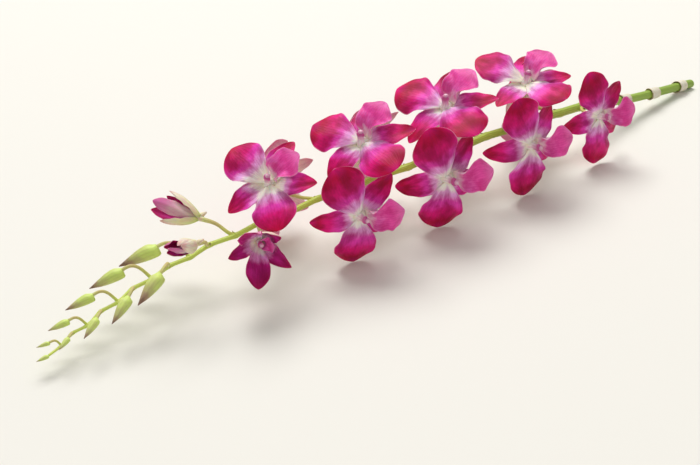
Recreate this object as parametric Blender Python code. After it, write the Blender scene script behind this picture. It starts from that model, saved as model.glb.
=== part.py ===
"""A cut dendrobium orchid spray lying on a table, in metres with +Z up.

The spray lies along X: its bud tip is at -X and the cut end of its cane is at +X. The origin is
under the middle of the spray, on the table. The cane rests on its cut end, and the middle of the
spray is propped up by its own side blooms.
"""

import math
import random

import bmesh
import bpy
from mathutils import Matrix, Vector

MM = 0.001
UP = Vector((0, 0, 1))

# Driving dimensions of the spray
CUT_END_X = 290 * MM
TIP_X = -281 * MM
CANE_RADIUS = 3.3 * MM
TIP_RADIUS = 0.75 * MM
STEM_SIDES = 8
CUT_SLANT = math.radians(18)
SEAT_GAP = 0.3 * MM

# Height of the stem's centre line over the table, and its sideways sway, at stations along X
STEM_HEIGHT = ((290, 3.2), (215, 15), (145, 29.5), (40, 37), (-70, 37), (-150, 32), (-220, 22),
               (-281, 11))
STEM_SWAY = ((290, 12), (140, 2), (0, -2), (-110, 2), (-200, 5), (-281, -8))

# The rachis bends to alternate sides at its joints, more so towards the tip, and thickens there
ZIGZAG_START = 0.8 * MM
ZIGZAG_GROWTH = 1.0 * MM
RACHIS_SWELL = 0.25 * MM

# The cane's joints, each wrapped in a papery sheath that flares towards the tip
SHEATH_X = tuple(x * MM for x in (276, 241, 205, 168))
SHEATH_LENGTH = 10 * MM
SHEATH_WALL = 0.7 * MM
SHEATH_HEM = 0.25 * MM
SHEATH_FLARE = 0.28 * MM
JOINT_SWELL = 0.45 * MM
JOINT_HALF = 4 * MM

# Open blooms: station, roll of the pedicel round the stem, turn of the face away from that roll,
# lean of the face towards the tip, spin about the face, reach from the stem, advance towards the
# tip, size, and how far the blades are cupped forward. Roll 0 is up, and +90 is towards -Y.
# Angles are in degrees and lengths in millimetres.
BLOOMS = (
    (154, 80, 0, 6, 10, 27, 13, 1.00, 2),
    (130, -82, 0, 14, -12, 29, 14, 1.02, -4),
    (106, 0, 10, 12, 12, 31, 15, 1.07, 8),
    (82, 84, 2, 10, 10, 30, 14, 1.06, -5),
    (58, -90, 4, 18, 14, 28, 15, 1.09, -2),
    (34, -6, 12, 22, 2, 32, 15, 1.12, 8),
    (10, 88, 0, 14, 10, 30, 15, 1.10, -6),
    (-14, -86, 0, 12, -10, 29, 15, 1.09, -2),
    (-38, 8, 2, 24, 12, 32, 15, 1.07, 4),
    (-61, 90, 0, 12, 6, 30, 14, 1.03, -7),
    (-84, -92, 4, 22, 12, 28, 14, 1.03, -4),
    (-107, 4, 14, 28, -8, 28, 14, 0.98, 8),
)

# Blooms that are still opening: as above, without turn, spin and cup, and with how far they are
# open, from 0 to 1
OPENING = (
    (-127, 78, 34, 24, 14, 0.92, 0.42),
    (-146, -60, 46, 21, 15, 0.86, 0.20),
    (-163, 40, 56, 19, 15, 0.80, 0.10),
)

# Buds: station, roll of the pedicel, its length, nod of the bud below the stem's line, bud length
BUDS = (
    (-178, -72, 25, 24, 26),
    (-192, 62, 24, 26, 24),
    (-205, -66, 22, 24, 22),
    (-218, 66, 20, 22, 20),
    (-230, -60, 18, 20, 18),
    (-242, 62, 16, 18, 15.5),
    (-253, -56, 13, 16, 13),
    (-263, 58, 10.5, 12, 10.5),
    (-272, -54, 8, 10, 8),
)
TIP_BUD_LENGTH = 8 * MM
BUD_SIDES = 7

# A bud's rings: place along it, radius as a share of its half width, and shift to the heel side
BUD_WIDTH_SHARE = 0.36
BUD_HEEL_SLOPE = 0.42
BUD_RINGS = ((0.0, 0.36, 0.0), (0.07, 0.80, 0.34), (0.19, 1.0, 0.16), (0.42, 0.90, 0.02),
             (0.66, 0.62, -0.05), (0.87, 0.27, -0.16), (1.0, 0.05, -0.24))

# Blades of one bloom, in millimetres and degrees. A blade starts near the bloom's centre, rises
# out of its plane by `rise` and goes on bending by `bend`. `curl` turns its edges forward, or
# back if negative, `sweep` bends it sideways, `claw` is its width at its foot and `peak` is where
# it is widest. `clock` is its place round the bloom from the dorsal sepal, and `layer` its level
# in front of the sepals' base.
BLADE_WALL = 0.75 * MM
BLADE_START = 1.9 * MM
BLADE_THINNEST = 0.8 * MM
DORSAL = dict(length=29, width=16, claw=5.2, peak=0.48, full=0.64, rise=6, bend=-24, curl=24,
              sweep=0.02, ruffle=0.5, waves=1.0, clock=0, layer=-0.5, rows=5, columns=2)
LATERAL = dict(length=30, width=16.5, claw=6.0, peak=0.45, full=0.68, rise=8, bend=-30, curl=22,
               sweep=0.16, ruffle=0.5, waves=1.0, clock=137, layer=-0.8, rows=5, columns=2)
PETAL = dict(length=34, width=29.0, claw=3.6, peak=0.62, full=0.64, rise=12, bend=-34, curl=-14,
             sweep=0.05, ruffle=1.2, waves=1.5, clock=75, layer=0.7, rows=5, columns=3)

# How the blades of a closed bud differ from the open ones; its petals stand up a little further
CLOSED_RISE = 56
CLOSED_PETAL_RISE = 6
CLOSED_BEND = 90
CLOSED_CURL = 36
CLOSED_PETAL_CURL = 70
CLOSED_WIDTH = 0.66
CLOSED_PETAL_WIDTH = 0.28

# How far the blades of one bloom differ from each other, as flowers grow
CLOCK_VARIES, LAYER_VARIES, RISE_VARIES, BEND_VARIES = 3, 0.1, 4, 7
CURL_VARIES, TWIST_VARIES, LENGTH_VARIES = 6, 0.22, 0.04

# The lip: a narrow claw, two side lobes rolled up round the column, a waist, and a broad, rounded
# middle lobe that opens forward and down
LIP_LENGTH = 25
LIP_RISE, LIP_BEND = 58, -70
LIP_SIDE_WIDTH, LIP_SIDE_AT, LIP_SIDE_ROLL, LIP_SIDE_SPREAD = 18.5, 0.30, 84, 0.15
LIP_WAIST, LIP_CLAW = 9.0, 7.5
LIP_MIDDLE_WIDTH, LIP_MIDDLE_AT, LIP_MIDDLE_ROLL, LIP_MIDDLE_SPREAD = 24.0, 0.68, -16, 0.26
LIP_TIP_FROM = 0.52
LIP_ROLL = 12
LIP_ROWS, LIP_COLUMNS = 6, 4
LIP_ROOT = Vector((0, -4.3, 1.0)) * MM
LIP_WALL = 0.7 * MM

# The middle of a bloom: its core at the end of the ovary, the chin below it and the column in
# front, as (distance, radius) rings along their directions. Opening blooms are slimmer there.
CORE_RINGS = ((-5.2, 1.7), (-2.4, 2.8), (0.6, 3.95), (2.3, 3.0))
OPENING_CORE_RINGS = ((-5.2, 1.7), (-2.4, 2.2), (0.3, 2.8), (2.0, 2.2))
CHIN_RINGS = ((0.5, 2.7), (5.5, 2.3), (9.5, 1.2))
OPENING_CHIN_RINGS = ((0.5, 2.2), (4.6, 2.0), (8.0, 1.1))
CHIN_DIRECTION = Vector((0, -0.80, -0.60))
COLUMN_RINGS = ((1.0, 2.5), (5.0, 2.1), (8.6, 1.7))
COLUMN_DIRECTION = Vector((0.02, -0.22, 0.97))

# Stalks: each leaves the rachis on a slant, given as shares of outward, tipward and upward, and
# runs straight for a short way into the back of its bloom or bud
PEDICEL_RADIUS = 1.25 * MM
PEDICEL_SIDES = 5
PEDICEL_STEPS = 6
PEDICEL_PULL = 0.45
BLOOM_STALK_LEAVES = (0.70, 0.70, 0.0)
BUD_STALK_LEAVES = (0.80, 0.30, 0.45)
BUD_STALK_ENDS = (0.62, 0.50, 0.10)
BUD_AIM = (0.34, 0.86)
BUD_STALK_STRAIGHT = 1.2 * MM
OVARY_RADIUS = 1.6 * MM
OVARY_LENGTH = 3 * MM


def clear_scene():
    """Remove whatever the scene starts with."""
    for obj in list(bpy.data.objects):
        bpy.data.objects.remove(obj)


def finish_material(name, colour, roughness):
    """A plain plant material with its colour and roughness."""
    material = bpy.data.materials.new(name)
    material.use_nodes = True
    shader = material.node_tree.nodes["Principled BSDF"]
    shader.inputs["Base Color"].default_value = (*colour, 1.0)
    shader.inputs["Roughness"].default_value = roughness
    shader.inputs["Metallic"].default_value = 0.0
    material.diffuse_color = (*colour, 1.0)
    return material


def add_object(name, points, faces, material=None):
    """A closed mesh from points and faces, with its faces turned outwards."""
    mesh = bpy.data.meshes.new(name)
    mesh.from_pydata([tuple(p) for p in points], [], faces)
    solid = bmesh.new()
    solid.from_mesh(mesh)
    bmesh.ops.recalc_face_normals(solid, faces=solid.faces)
    solid.to_mesh(mesh)
    solid.free()
    obj = bpy.data.objects.new(name, mesh)
    bpy.context.scene.collection.objects.link(obj)
    if material:
        mesh.materials.append(material)
    return obj


def loft(loops):
    """Points and triangles of a closed body through loops with the same number of points."""
    count = len(loops[0])
    points = [p for loop in loops for p in loop]
    faces = []
    for i in range(len(loops) - 1):
        for j in range(count):
            a, b = i * count + j, i * count + (j + 1) % count
            faces += [(a, b, b + count), (a, b + count, a + count)]
    last = (len(loops) - 1) * count
    faces.append(tuple(range(count))[::-1])
    faces.append(tuple(range(last, last + count)))
    return points, faces


def fuse(name, pieces, material):
    """One body from pieces that overlap, by a Boolean union. The pieces are removed."""
    first, others = pieces[0], pieces[1:]
    group = bpy.data.collections.new(name + "_pieces")
    bpy.context.scene.collection.children.link(group)
    for piece in others:
        bpy.context.scene.collection.objects.unlink(piece)
        group.objects.link(piece)
    union = first.modifiers.new("union", "BOOLEAN")
    union.operation = "UNION"
    union.operand_type = "COLLECTION"
    union.collection = group
    union.solver = "EXACT"
    bpy.context.view_layer.update()
    graph = bpy.context.evaluated_depsgraph_get()
    mesh = bpy.data.meshes.new_from_object(first.evaluated_get(graph))
    for piece in pieces:
        bpy.data.objects.remove(piece)
    bpy.data.collections.remove(group)
    mesh.name = name
    mesh.materials.clear()
    mesh.materials.append(material)
    obj = bpy.data.objects.new(name, mesh)
    bpy.context.scene.collection.objects.link(obj)
    return obj


def shade_smooth(obj, angle=40):
    """Smooth shading with edges sharper than the angle left crisp."""
    obj.data.shade_smooth()
    obj.data.set_sharp_from_angle(angle=math.radians(angle))


def through(stations, x):
    """A smooth value at x through (station, value) pairs in millimetres, as metres."""
    x = x / MM
    pairs = sorted(stations)
    x = min(max(x, pairs[0][0]), pairs[-1][0])
    at = max(i for i in range(len(pairs) - 1) if pairs[i][0] <= x or i == 0)

    def slope(i):
        before, after = pairs[max(i - 1, 0)], pairs[min(i + 1, len(pairs) - 1)]
        return (after[1] - before[1]) / (after[0] - before[0])

    (x0, y0), (x1, y1) = pairs[at], pairs[at + 1]
    span = x1 - x0
    t = (x - x0) / span
    value = (
        (2 * t**3 - 3 * t**2 + 1) * y0
        + (t**3 - 2 * t**2 + t) * span * slope(at)
        + (3 * t**2 - 2 * t**3) * y1
        + (t**3 - t**2) * span * slope(at + 1)
    )
    return value * MM


def rachis_stations():
    """Every station that carries a bloom or a bud, from the base to the tip."""
    rows = [row[0] for row in BLOOMS + OPENING + BUDS]
    return [x * MM for x in rows]


def zigzag(x):
    """The rachis bends a little to alternate sides at each of its joints."""
    joints = rachis_stations()
    if x > joints[0]:
        return 0.0
    offsets = [(-1) ** i * (ZIGZAG_START + ZIGZAG_GROWTH * i / len(joints))
               for i in range(len(joints))]
    offsets[0] = 0.0
    for i in range(len(joints) - 1):
        if x >= joints[i + 1]:
            share = (x - joints[i]) / (joints[i + 1] - joints[i])
            return offsets[i] + share * (offsets[i + 1] - offsets[i])
    return offsets[-1]


def stem_point(x):
    return Vector((x, through(STEM_SWAY, x) + zigzag(x), through(STEM_HEIGHT, x)))


def stem_radius(x):
    """The cane keeps its thickness, and the rachis tapers to the tip."""
    share = (CUT_END_X - x) / (CUT_END_X - TIP_X)
    return CANE_RADIUS + (TIP_RADIUS - CANE_RADIUS) * share**1.5


def stem_frame(x):
    """Unit vectors at x: towards the tip, up across the stem, and sideways towards -Y."""
    step = 4 * MM
    ahead, behind = (
        Vector((at, through(STEM_SWAY, at), through(STEM_HEIGHT, at)))
        for at in (x - step, x + step)
    )
    tipward = (ahead - behind).normalized()
    side = UP.cross(tipward).normalized()
    return tipward, tipward.cross(side), side


def radial(x, roll):
    """The direction out of the stem at this roll, in degrees: 0 is up and +90 is towards -Y."""
    _, up, side = stem_frame(x)
    return (up * math.cos(math.radians(roll)) + side * math.sin(math.radians(roll))).normalized()


def ring(centre, normal, radius, sides, start=UP):
    """Points round a circle, starting from the start direction."""
    normal = normal.normalized()
    across = (start - normal * start.dot(normal)).normalized()
    other = normal.cross(across)
    half = math.pi / sides
    return [
        centre
        + across * radius * math.cos(2 * half * j + half)
        + other * radius * math.sin(2 * half * j + half)
        for j in range(sides)
    ]


def bezier(a, b, c, d, t):
    return a * (1 - t) ** 3 + b * 3 * t * (1 - t) ** 2 + c * 3 * t**2 * (1 - t) + d * t**3


def tube(name, path, radii, sides):
    """A closed tube along a path of points."""
    loops = []
    for i, point in enumerate(path):
        before, after = path[max(i - 1, 0)], path[min(i + 1, len(path) - 1)]
        loops.append(ring(point, after - before, radii[i], sides))
    return add_object(name, *loft(loops))


def cane_and_rachis():
    """The stem from the slanting cut to the tip, swollen at the cane's joints."""
    joints = rachis_stations()
    stations = {CUT_END_X, TIP_X}
    for x in SHEATH_X:
        stations |= {x - JOINT_HALF, x, x + JOINT_HALF}
    stations |= set(joints)
    loops = []
    for x in sorted(stations, reverse=True):
        tipward, up, _ = stem_frame(x)
        normal = tipward
        if x == CUT_END_X:
            normal = Matrix.Rotation(CUT_SLANT, 3, "Z") @ tipward
        radius = stem_radius(x)
        radius += JOINT_SWELL if x in SHEATH_X else 0.0
        radius += RACHIS_SWELL if x in joints else 0.0
        loops.append(ring(stem_point(x), normal, radius, STEM_SIDES, up))
    return add_object("stem_line", *loft(loops))


def half_width(blade, u):
    """Half the blade's width at u along it, from 0 at the root to 1 at the tip."""
    lean = math.log(0.5) / math.log(blade["peak"])
    body = math.sin(math.pi * min(u**lean, 1.0)) ** blade["full"] if 0 < u < 1 else 0.0
    return max((blade["width"] / 2 * body + blade["claw"] / 2 * (1 - u) ** 3) * MM,
               BLADE_THINNEST / 2)


def blade_point(blade, u, v):
    """A point of a blade's middle surface. It runs along +Y and faces +Z, with v from -1 to 1."""
    rise, bend = math.radians(blade["rise"]), math.radians(blade["bend"])
    length = blade["length"] * MM
    angle = rise + bend * u
    forward = length * (math.sin(angle) - math.sin(rise)) / bend
    lift = length * (math.cos(rise) - math.cos(angle)) / bend
    sideways = blade["hand"] * blade["sweep"] * length * u * u
    width = half_width(blade, u)
    curl = math.radians(blade["curl"])
    across = width * math.sin(curl * v) / curl
    fold = width * (1 - math.cos(curl * v)) / curl
    fold += width * blade["twist"] * v * u * u
    wave = math.sin(2 * math.pi * blade["waves"] * u + blade["phase"] + 1.3 * v)
    fold += blade["ruffle"] * MM * v * v * math.sin(math.pi * u) * wave
    return Vector((
        sideways + across,
        forward - fold * math.sin(angle),
        lift + fold * math.cos(angle),
    ))


def bloom_blades(openness, cup, seed):
    """The five blades of one bloom, each a little different, as flowers grow."""
    draw = random.Random(seed)
    closed = 1 - openness
    blades = []
    for shape, hand in ((DORSAL, 1), (LATERAL, 1), (LATERAL, -1), (PETAL, 1), (PETAL, -1)):
        blade = dict(shape, hand=hand, phase=draw.uniform(0, 6))
        petal = shape is PETAL
        blade["clock"] = -hand * shape["clock"] + CLOCK_VARIES * draw.uniform(-1, 1)
        blade["layer"] += LAYER_VARIES * draw.uniform(-1, 1)
        blade["rise"] += cup + (CLOSED_RISE + (CLOSED_PETAL_RISE if petal else 0)) * closed
        blade["rise"] += RISE_VARIES * draw.uniform(-1, 1)
        blade["bend"] += CLOSED_BEND * closed + BEND_VARIES * draw.uniform(-1, 1)
        blade["curl"] += (CLOSED_PETAL_CURL if petal else CLOSED_CURL) * closed
        blade["curl"] += CURL_VARIES * draw.uniform(-1, 1)
        blade["twist"] = TWIST_VARIES * openness * draw.uniform(-1, 1)
        blade["width"] *= 1 - closed * (1 - (CLOSED_PETAL_WIDTH if petal else CLOSED_WIDTH))
        blade["length"] *= 1 + LENGTH_VARIES * draw.uniform(-1, 1)
        blades.append(blade)
    return blades


def lip_point(u, v):
    """A point of the lip's middle surface, running along -Y and facing forward."""
    rise, bend = math.radians(LIP_RISE), math.radians(LIP_BEND)
    length = LIP_LENGTH * MM
    angle = rise + bend * u
    forward = length * (math.sin(angle) - math.sin(rise)) / bend
    lift = length * (math.cos(rise) - math.cos(angle)) / bend
    side = math.exp(-(((u - LIP_SIDE_AT) / LIP_SIDE_SPREAD) ** 2))
    middle = math.exp(-(((u - LIP_MIDDLE_AT) / LIP_MIDDLE_SPREAD) ** 2))
    tip = math.sqrt(1 - min(1.0, max(0.0, (u - LIP_TIP_FROM) / (1 - LIP_TIP_FROM))) ** 2)
    width = LIP_WAIST / 2 + (LIP_SIDE_WIDTH - LIP_WAIST) / 2 * side
    width -= (LIP_WAIST - LIP_CLAW) / 2 * (1 - u) ** 8
    width += (LIP_MIDDLE_WIDTH - LIP_WAIST) / 2 * middle
    width = max(width * tip, 0.5) * MM
    roll = math.radians(LIP_SIDE_ROLL * side + LIP_MIDDLE_ROLL * middle + LIP_ROLL)
    roll = max(roll, 0.02) if roll > -0.02 else roll
    across = width * math.sin(roll * v) / roll
    fold = width * (1 - math.cos(roll * v)) / roll
    return Vector((across, -forward + fold * math.sin(angle), lift + fold * math.cos(angle)))


def shell(name, surface, rows, columns, wall):
    """A thin closed blade of even wall round a surface(u, v), split alike on both faces.

    Its normals come from points a little to each side, and its rows are closer near the tip."""
    near = 0.004
    loops = []
    for i in range(rows + 1):
        u = math.sin(math.pi / 2 * i / rows)
        front, back = [], []
        for j in range(columns + 1):
            v = 2 * j / columns - 1
            u0, u1 = max(u - near, 0.0), min(u + near, 1.0)
            v0, v1 = max(v - near, -1.0), min(v + near, 1.0)
            along = surface(u1, v) - surface(u0, v)
            across = surface(u, v1) - surface(u, v0)
            normal = across.cross(along)
            normal.normalize()
            front.append(surface(u, v) + normal * wall / 2)
            back.append(surface(u, v) - normal * wall / 2)
        loops.append((front, back))
    width = columns + 1
    points = [p for front, back in loops for p in front + back]
    faces = []
    for i in range(rows):
        here, there = 2 * width * i, 2 * width * (i + 1)
        for j in range(columns):
            a, b, c, d = here + j, here + j + 1, there + j + 1, there + j
            front = [(a, b, c), (a, c, d)] if (i + j) % 2 else [(a, b, d), (b, c, d)]
            faces += front
            faces += [tuple(k + width for k in reversed(face)) for face in front]
        for j in (0, columns):
            a, b, c, d = here + j, there + j, there + j + width, here + j + width
            faces += [(a, b, c), (a, c, d)]
    for row in (0, rows):
        base = 2 * width * row
        faces.append(tuple(base + j for j in range(width))
                     + tuple(base + width + j for j in reversed(range(width))))
    return add_object(name, points, faces)


def spindle(name, direction, rings, sides):
    """A turned body along a direction, from (distance, radius) rings in millimetres."""
    loops = [ring(direction * d * MM, direction, r * MM, sides, Vector((0.3, 1, 0.2)))
             for d, r in rings]
    return add_object(name, *loft(loops))


def blade_place(blade):
    """Moves a blade's root to its clock position and its layer round the bloom's centre."""
    turn = Matrix.Rotation(math.radians(blade["clock"]), 4, "Z")
    return Matrix.Translation((0, 0, blade["layer"] * MM)) @ turn @ Matrix.Translation(
        (0, BLADE_START, 0))


def bloom_solid(name, bloom, material):
    """Sepals, petals, chin and column of one bloom, fused and put in place."""
    pieces = [
        spindle("core", Vector((0, 0, 1)), bloom["core"], 6),
        spindle("chin", CHIN_DIRECTION.normalized(), bloom["chin"], 5),
        spindle("column", COLUMN_DIRECTION.normalized(), COLUMN_RINGS, 5),
    ]
    for blade in bloom_blades(bloom["openness"], bloom["cup"], bloom["seed"]):
        piece = shell("blade", lambda u, v: blade_point(blade, u, v), blade["rows"],
                      blade["columns"], BLADE_WALL)
        piece.data.transform(blade_place(blade))
        pieces.append(piece)
    solid = fuse(name, pieces, material)
    solid.data.transform(Matrix.Scale(bloom["size"], 4))
    solid.matrix_world = bloom["place"]
    shade_smooth(solid)
    return solid


def lip_solid(name, place, size, material):
    """The lip, hinged in front of the column's foot."""
    lip = shell(name, lip_point, LIP_ROWS, LIP_COLUMNS, LIP_WALL)
    lip.data.transform(Matrix.Translation(LIP_ROOT))
    lip.data.transform(Matrix.Scale(size, 4))
    lip.data.materials.append(material)
    lip.matrix_world = place
    shade_smooth(lip)
    return lip


def bloom_place(x, roll, turn, lean, spin, reach, advance):
    """The matrix of a bloom: X to its right, Y towards its dorsal sepal and Z out of its face."""
    tipward = stem_frame(x)[0]
    centre = stem_point(x) + radial(x, roll) * reach * MM + tipward * advance * MM
    face = radial(x, roll + turn) * math.cos(math.radians(lean))
    face += tipward * math.sin(math.radians(lean))
    face.normalize()
    dorsal = (tipward - face * tipward.dot(face)).normalized()
    right = dorsal.cross(face)
    axes = Matrix((right, dorsal, face)).transposed().to_4x4()
    return Matrix.Translation(centre) @ axes @ Matrix.Rotation(math.radians(spin), 4, "Z")


def all_blooms():
    """Every open and opening bloom with its name, place, size and openness."""
    blooms = []
    for i, (x, roll, turn, lean, spin, reach, advance, size, cup) in enumerate(BLOOMS, 1):
        place = bloom_place(x * MM, roll, turn, lean, spin, reach, advance)
        blooms.append(dict(name=f"bloom_{i:02d}", lip=f"lip_{i:02d}", x=x * MM, roll=roll,
                           place=place, size=size, cup=cup, openness=1.0, seed=i,
                           core=CORE_RINGS, chin=CHIN_RINGS))
    for i, (x, roll, lean, reach, advance, size, openness) in enumerate(OPENING, 1):
        place = bloom_place(x * MM, roll, 0, lean, 0, reach, advance)
        blooms.append(dict(name=f"opening_bloom_{i}", lip=None, x=x * MM, roll=roll,
                           place=place, size=size, cup=0, openness=openness, seed=40 + i,
                           core=OPENING_CORE_RINGS, chin=OPENING_CHIN_RINGS))
    return blooms


def slant(x, roll, shares):
    """A vector at x from shares of outward, tipward and upward."""
    tipward, up, _ = stem_frame(x)
    return radial(x, roll) * shares[0] + tipward * shares[1] + up * shares[2]


def stalk_path(start, leave, straight, arrive, steps):
    """Points along a stalk's curve, which leaves and arrives in the given directions."""
    pull = (straight - start).length * PEDICEL_PULL
    leave = leave.normalized()
    return [bezier(start, start + leave * pull, straight - arrive * pull, straight, i / steps)
            for i in range(steps + 1)]


def bloom_pedicel(bloom):
    """The stalk from the rachis to the back of a bloom, widening into its ovary."""
    face = bloom["place"].to_3x3().col[2]
    back = CORE_RINGS[0][0] * MM * bloom["size"] - SEAT_GAP
    end = bloom["place"].translation + face * back
    path = stalk_path(stem_point(bloom["x"]), slant(bloom["x"], bloom["roll"], BLOOM_STALK_LEAVES),
                      end - face * OVARY_LENGTH, face, PEDICEL_STEPS - 1) + [end]
    radii = [PEDICEL_RADIUS] * (PEDICEL_STEPS - 1) + [OVARY_RADIUS * 0.9, OVARY_RADIUS]
    return tube("pedicel", path, radii, PEDICEL_SIDES)


def bud_end(x, roll, length, nod):
    """Where a bud's stalk ends, and the direction in which the bud points."""
    tipward, up, _ = stem_frame(x)
    out_share, tip_share = BUD_AIM
    aim = radial(x, roll) * out_share + tipward * tip_share - up * math.sin(math.radians(nod))
    return stem_point(x) + slant(x, roll, BUD_STALK_ENDS) * length * MM, aim.normalized()


def bud_pedicel(x, roll, length, nod):
    """The stalk of a bud, which arches up and out and then nods; short ones are thinner."""
    end, aim = bud_end(x, roll, length, nod)
    path = stalk_path(stem_point(x), slant(x, roll, BUD_STALK_LEAVES),
                      end - aim * BUD_STALK_STRAIGHT, aim, PEDICEL_STEPS - 2) + [end]
    radius = PEDICEL_RADIUS * min(0.85, 0.36 + length / 50)
    return tube("bud_pedicel", path, [radius] * len(path), PEDICEL_SIDES)


def bud_solid(name, base, aim, length, material):
    """A pointed bud, widest near its base, with the blunt heel of its chin on the lower side."""
    heel = (aim * aim.dot(UP) - UP).normalized()
    width = length * BUD_WIDTH_SHARE / 2
    loops = []
    for i, (u, share, shift) in enumerate(BUD_RINGS):
        centre = base + aim * (u * length) + heel * (shift * width)
        loop = ring(centre, aim, share * width, BUD_SIDES, heel)
        if i == 1:
            loop = [p - aim * max(0.0, (p - centre).dot(heel)) * BUD_HEEL_SLOPE for p in loop]
        loops.append(loop)
    bud = add_object(name, *loft(loops), material)
    shade_smooth(bud)
    return bud


def sheath(name, x, material):
    """The papery collar round a joint of the cane: thin at its hem, and flared at its mouth."""
    profile = ((0.5, 0.0, SHEATH_HEM), (0.42, 0.0, SHEATH_WALL), (-0.36, 0.0, SHEATH_WALL),
               (-0.5, SHEATH_FLARE, SHEATH_WALL * 1.3))
    outer, inner = [], []
    for share, flare, wall in profile:
        at = x + share * SHEATH_LENGTH
        tipward, up, _ = stem_frame(at)
        clear = stem_radius(at) + JOINT_SWELL + SEAT_GAP
        outer.append(ring(stem_point(at), tipward, clear + wall, STEM_SIDES, up))
        inner.append(ring(stem_point(at), tipward, clear + flare, STEM_SIDES, up))
    loops = outer + inner[::-1]
    points = [p for loop in loops for p in loop]
    faces = []
    for i in range(len(loops)):
        for j in range(STEM_SIDES):
            a, b = i * STEM_SIDES + j, i * STEM_SIDES + (j + 1) % STEM_SIDES
            c, d = (a + STEM_SIDES) % len(points), (b + STEM_SIDES) % len(points)
            faces += [(a, b, d), (a, d, c)]
    obj = add_object(name, points, faces, material)
    shade_smooth(obj)
    return obj


def build():
    clear_scene()
    green = finish_material("stem_green", (0.33, 0.46, 0.10), 0.45)
    magenta = finish_material("petal_magenta", (0.62, 0.02, 0.27), 0.5)
    deep = finish_material("lip_purple", (0.36, 0.01, 0.13), 0.45)
    bud_green = finish_material("bud_green", (0.45, 0.56, 0.16), 0.5)
    paper = finish_material("sheath_paper", (0.72, 0.66, 0.50), 0.7)

    stem_pieces = [cane_and_rachis()]
    for bloom in all_blooms():
        bloom_solid(bloom["name"], bloom, magenta)
        if bloom["lip"]:
            lip_solid(bloom["lip"], bloom["place"], bloom["size"], deep)
        stem_pieces.append(bloom_pedicel(bloom))

    for i, (x, roll, length, nod, bud_length) in enumerate(BUDS, 1):
        end, aim = bud_end(x * MM, roll, length, nod)
        stem_pieces.append(bud_pedicel(x * MM, roll, length, nod))
        bud_solid(f"bud_{i:02d}", end + aim * SEAT_GAP, aim, bud_length * MM, bud_green)
    tipward = stem_frame(TIP_X)[0]
    bud_solid("tip_bud", stem_point(TIP_X) + tipward * SEAT_GAP, tipward, TIP_BUD_LENGTH,
              bud_green)

    for i, x in enumerate(SHEATH_X, 1):
        sheath(f"sheath_{i}", x, paper)
    stem = fuse("stem", stem_pieces, green)
    shade_smooth(stem)


build()
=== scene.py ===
"""A cut spray of magenta dendrobium orchid, lying on a pale table in soft light.

The spray lies along X, with its bud tip at -X and the cut end of its cane at +X, and +Z is up.
Tables of sizes are in millimetres and degrees, and everything else is in metres and radians.
"""

import random
from math import cos, exp, log, pi, radians, sin

import bmesh
import bpy
import numpy as np
from mathutils import Matrix, Vector


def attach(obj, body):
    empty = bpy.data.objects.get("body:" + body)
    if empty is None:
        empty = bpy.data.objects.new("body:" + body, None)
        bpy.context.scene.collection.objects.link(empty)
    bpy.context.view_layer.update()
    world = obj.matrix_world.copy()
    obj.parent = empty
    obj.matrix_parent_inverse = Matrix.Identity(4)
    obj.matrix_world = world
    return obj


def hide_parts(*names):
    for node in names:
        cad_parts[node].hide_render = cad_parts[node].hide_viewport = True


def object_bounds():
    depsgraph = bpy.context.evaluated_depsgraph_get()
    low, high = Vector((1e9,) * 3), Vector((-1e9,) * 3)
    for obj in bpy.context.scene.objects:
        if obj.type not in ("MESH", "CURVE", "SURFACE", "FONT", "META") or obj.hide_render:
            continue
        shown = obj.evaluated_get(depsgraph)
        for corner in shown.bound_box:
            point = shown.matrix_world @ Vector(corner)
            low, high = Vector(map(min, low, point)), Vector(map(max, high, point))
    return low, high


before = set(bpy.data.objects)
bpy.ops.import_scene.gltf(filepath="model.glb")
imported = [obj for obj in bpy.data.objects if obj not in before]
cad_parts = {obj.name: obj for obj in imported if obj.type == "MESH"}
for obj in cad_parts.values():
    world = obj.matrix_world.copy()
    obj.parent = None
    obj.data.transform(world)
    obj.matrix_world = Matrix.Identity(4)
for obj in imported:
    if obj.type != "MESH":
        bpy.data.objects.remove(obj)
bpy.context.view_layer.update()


# The cane and rachis
# The leafless green stem, which grew as one piece: a round, finely ribbed cane, cut on a slant,
# that runs into the thin zigzag rachis which carries the flowers. It swells at every joint.

MM = 0.001
UP = Vector((0, 0, 1))
CUT_END_X, TIP_X = 290, -281
CANE_RADIUS, TIP_RADIUS = 3.3, 0.75
CUT_SLANT, CUT_TURNS_OVER = radians(18), 6
STEM_HEIGHT = ((290, 3.2), (215, 15), (145, 29.5), (40, 37), (-70, 37), (-150, 32), (-220, 22),
               (-281, 11))
STEM_SWAY = ((290, 12), (140, 2), (0, -2), (-110, 2), (-200, 5), (-281, -8))
CANE_JOINTS = (276, 241, 205, 168)
RACHIS_JOINTS = (154, 130, 106, 82, 58, 34, 10, -14, -38, -61, -84, -107, -127, -146, -163, -178,
                 -192, -205, -218, -230, -242, -253, -263, -272)
CANE_SWELL, RACHIS_SWELL = 0.45, 0.32
ZIGZAG_START, ZIGZAG_GROWTH, BEND_EASED_OVER = 0.8, 1.0, 2
STEM_STEP, STEM_SIDES, STEM_TAPER, DIRECTION_REACH = 1.5, 44, 1.5, 4
RIB_DEPTH, RIBS, FLUTE_DEPTH, FLUTES = 0.022, 11, 0.012, 3
CUT_RINGS = (0.04, 0.3, 0.55, 0.78, 0.92, 0.985)
CUT_DOME, CUT_RIPPLE, CUT_RIPPLES, SHARP_ANGLE = 0.3, 0.1, 9, radians(50)
MIDDLE_DRAW, JOINT_GREENER = 0.5, 0.3


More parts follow.
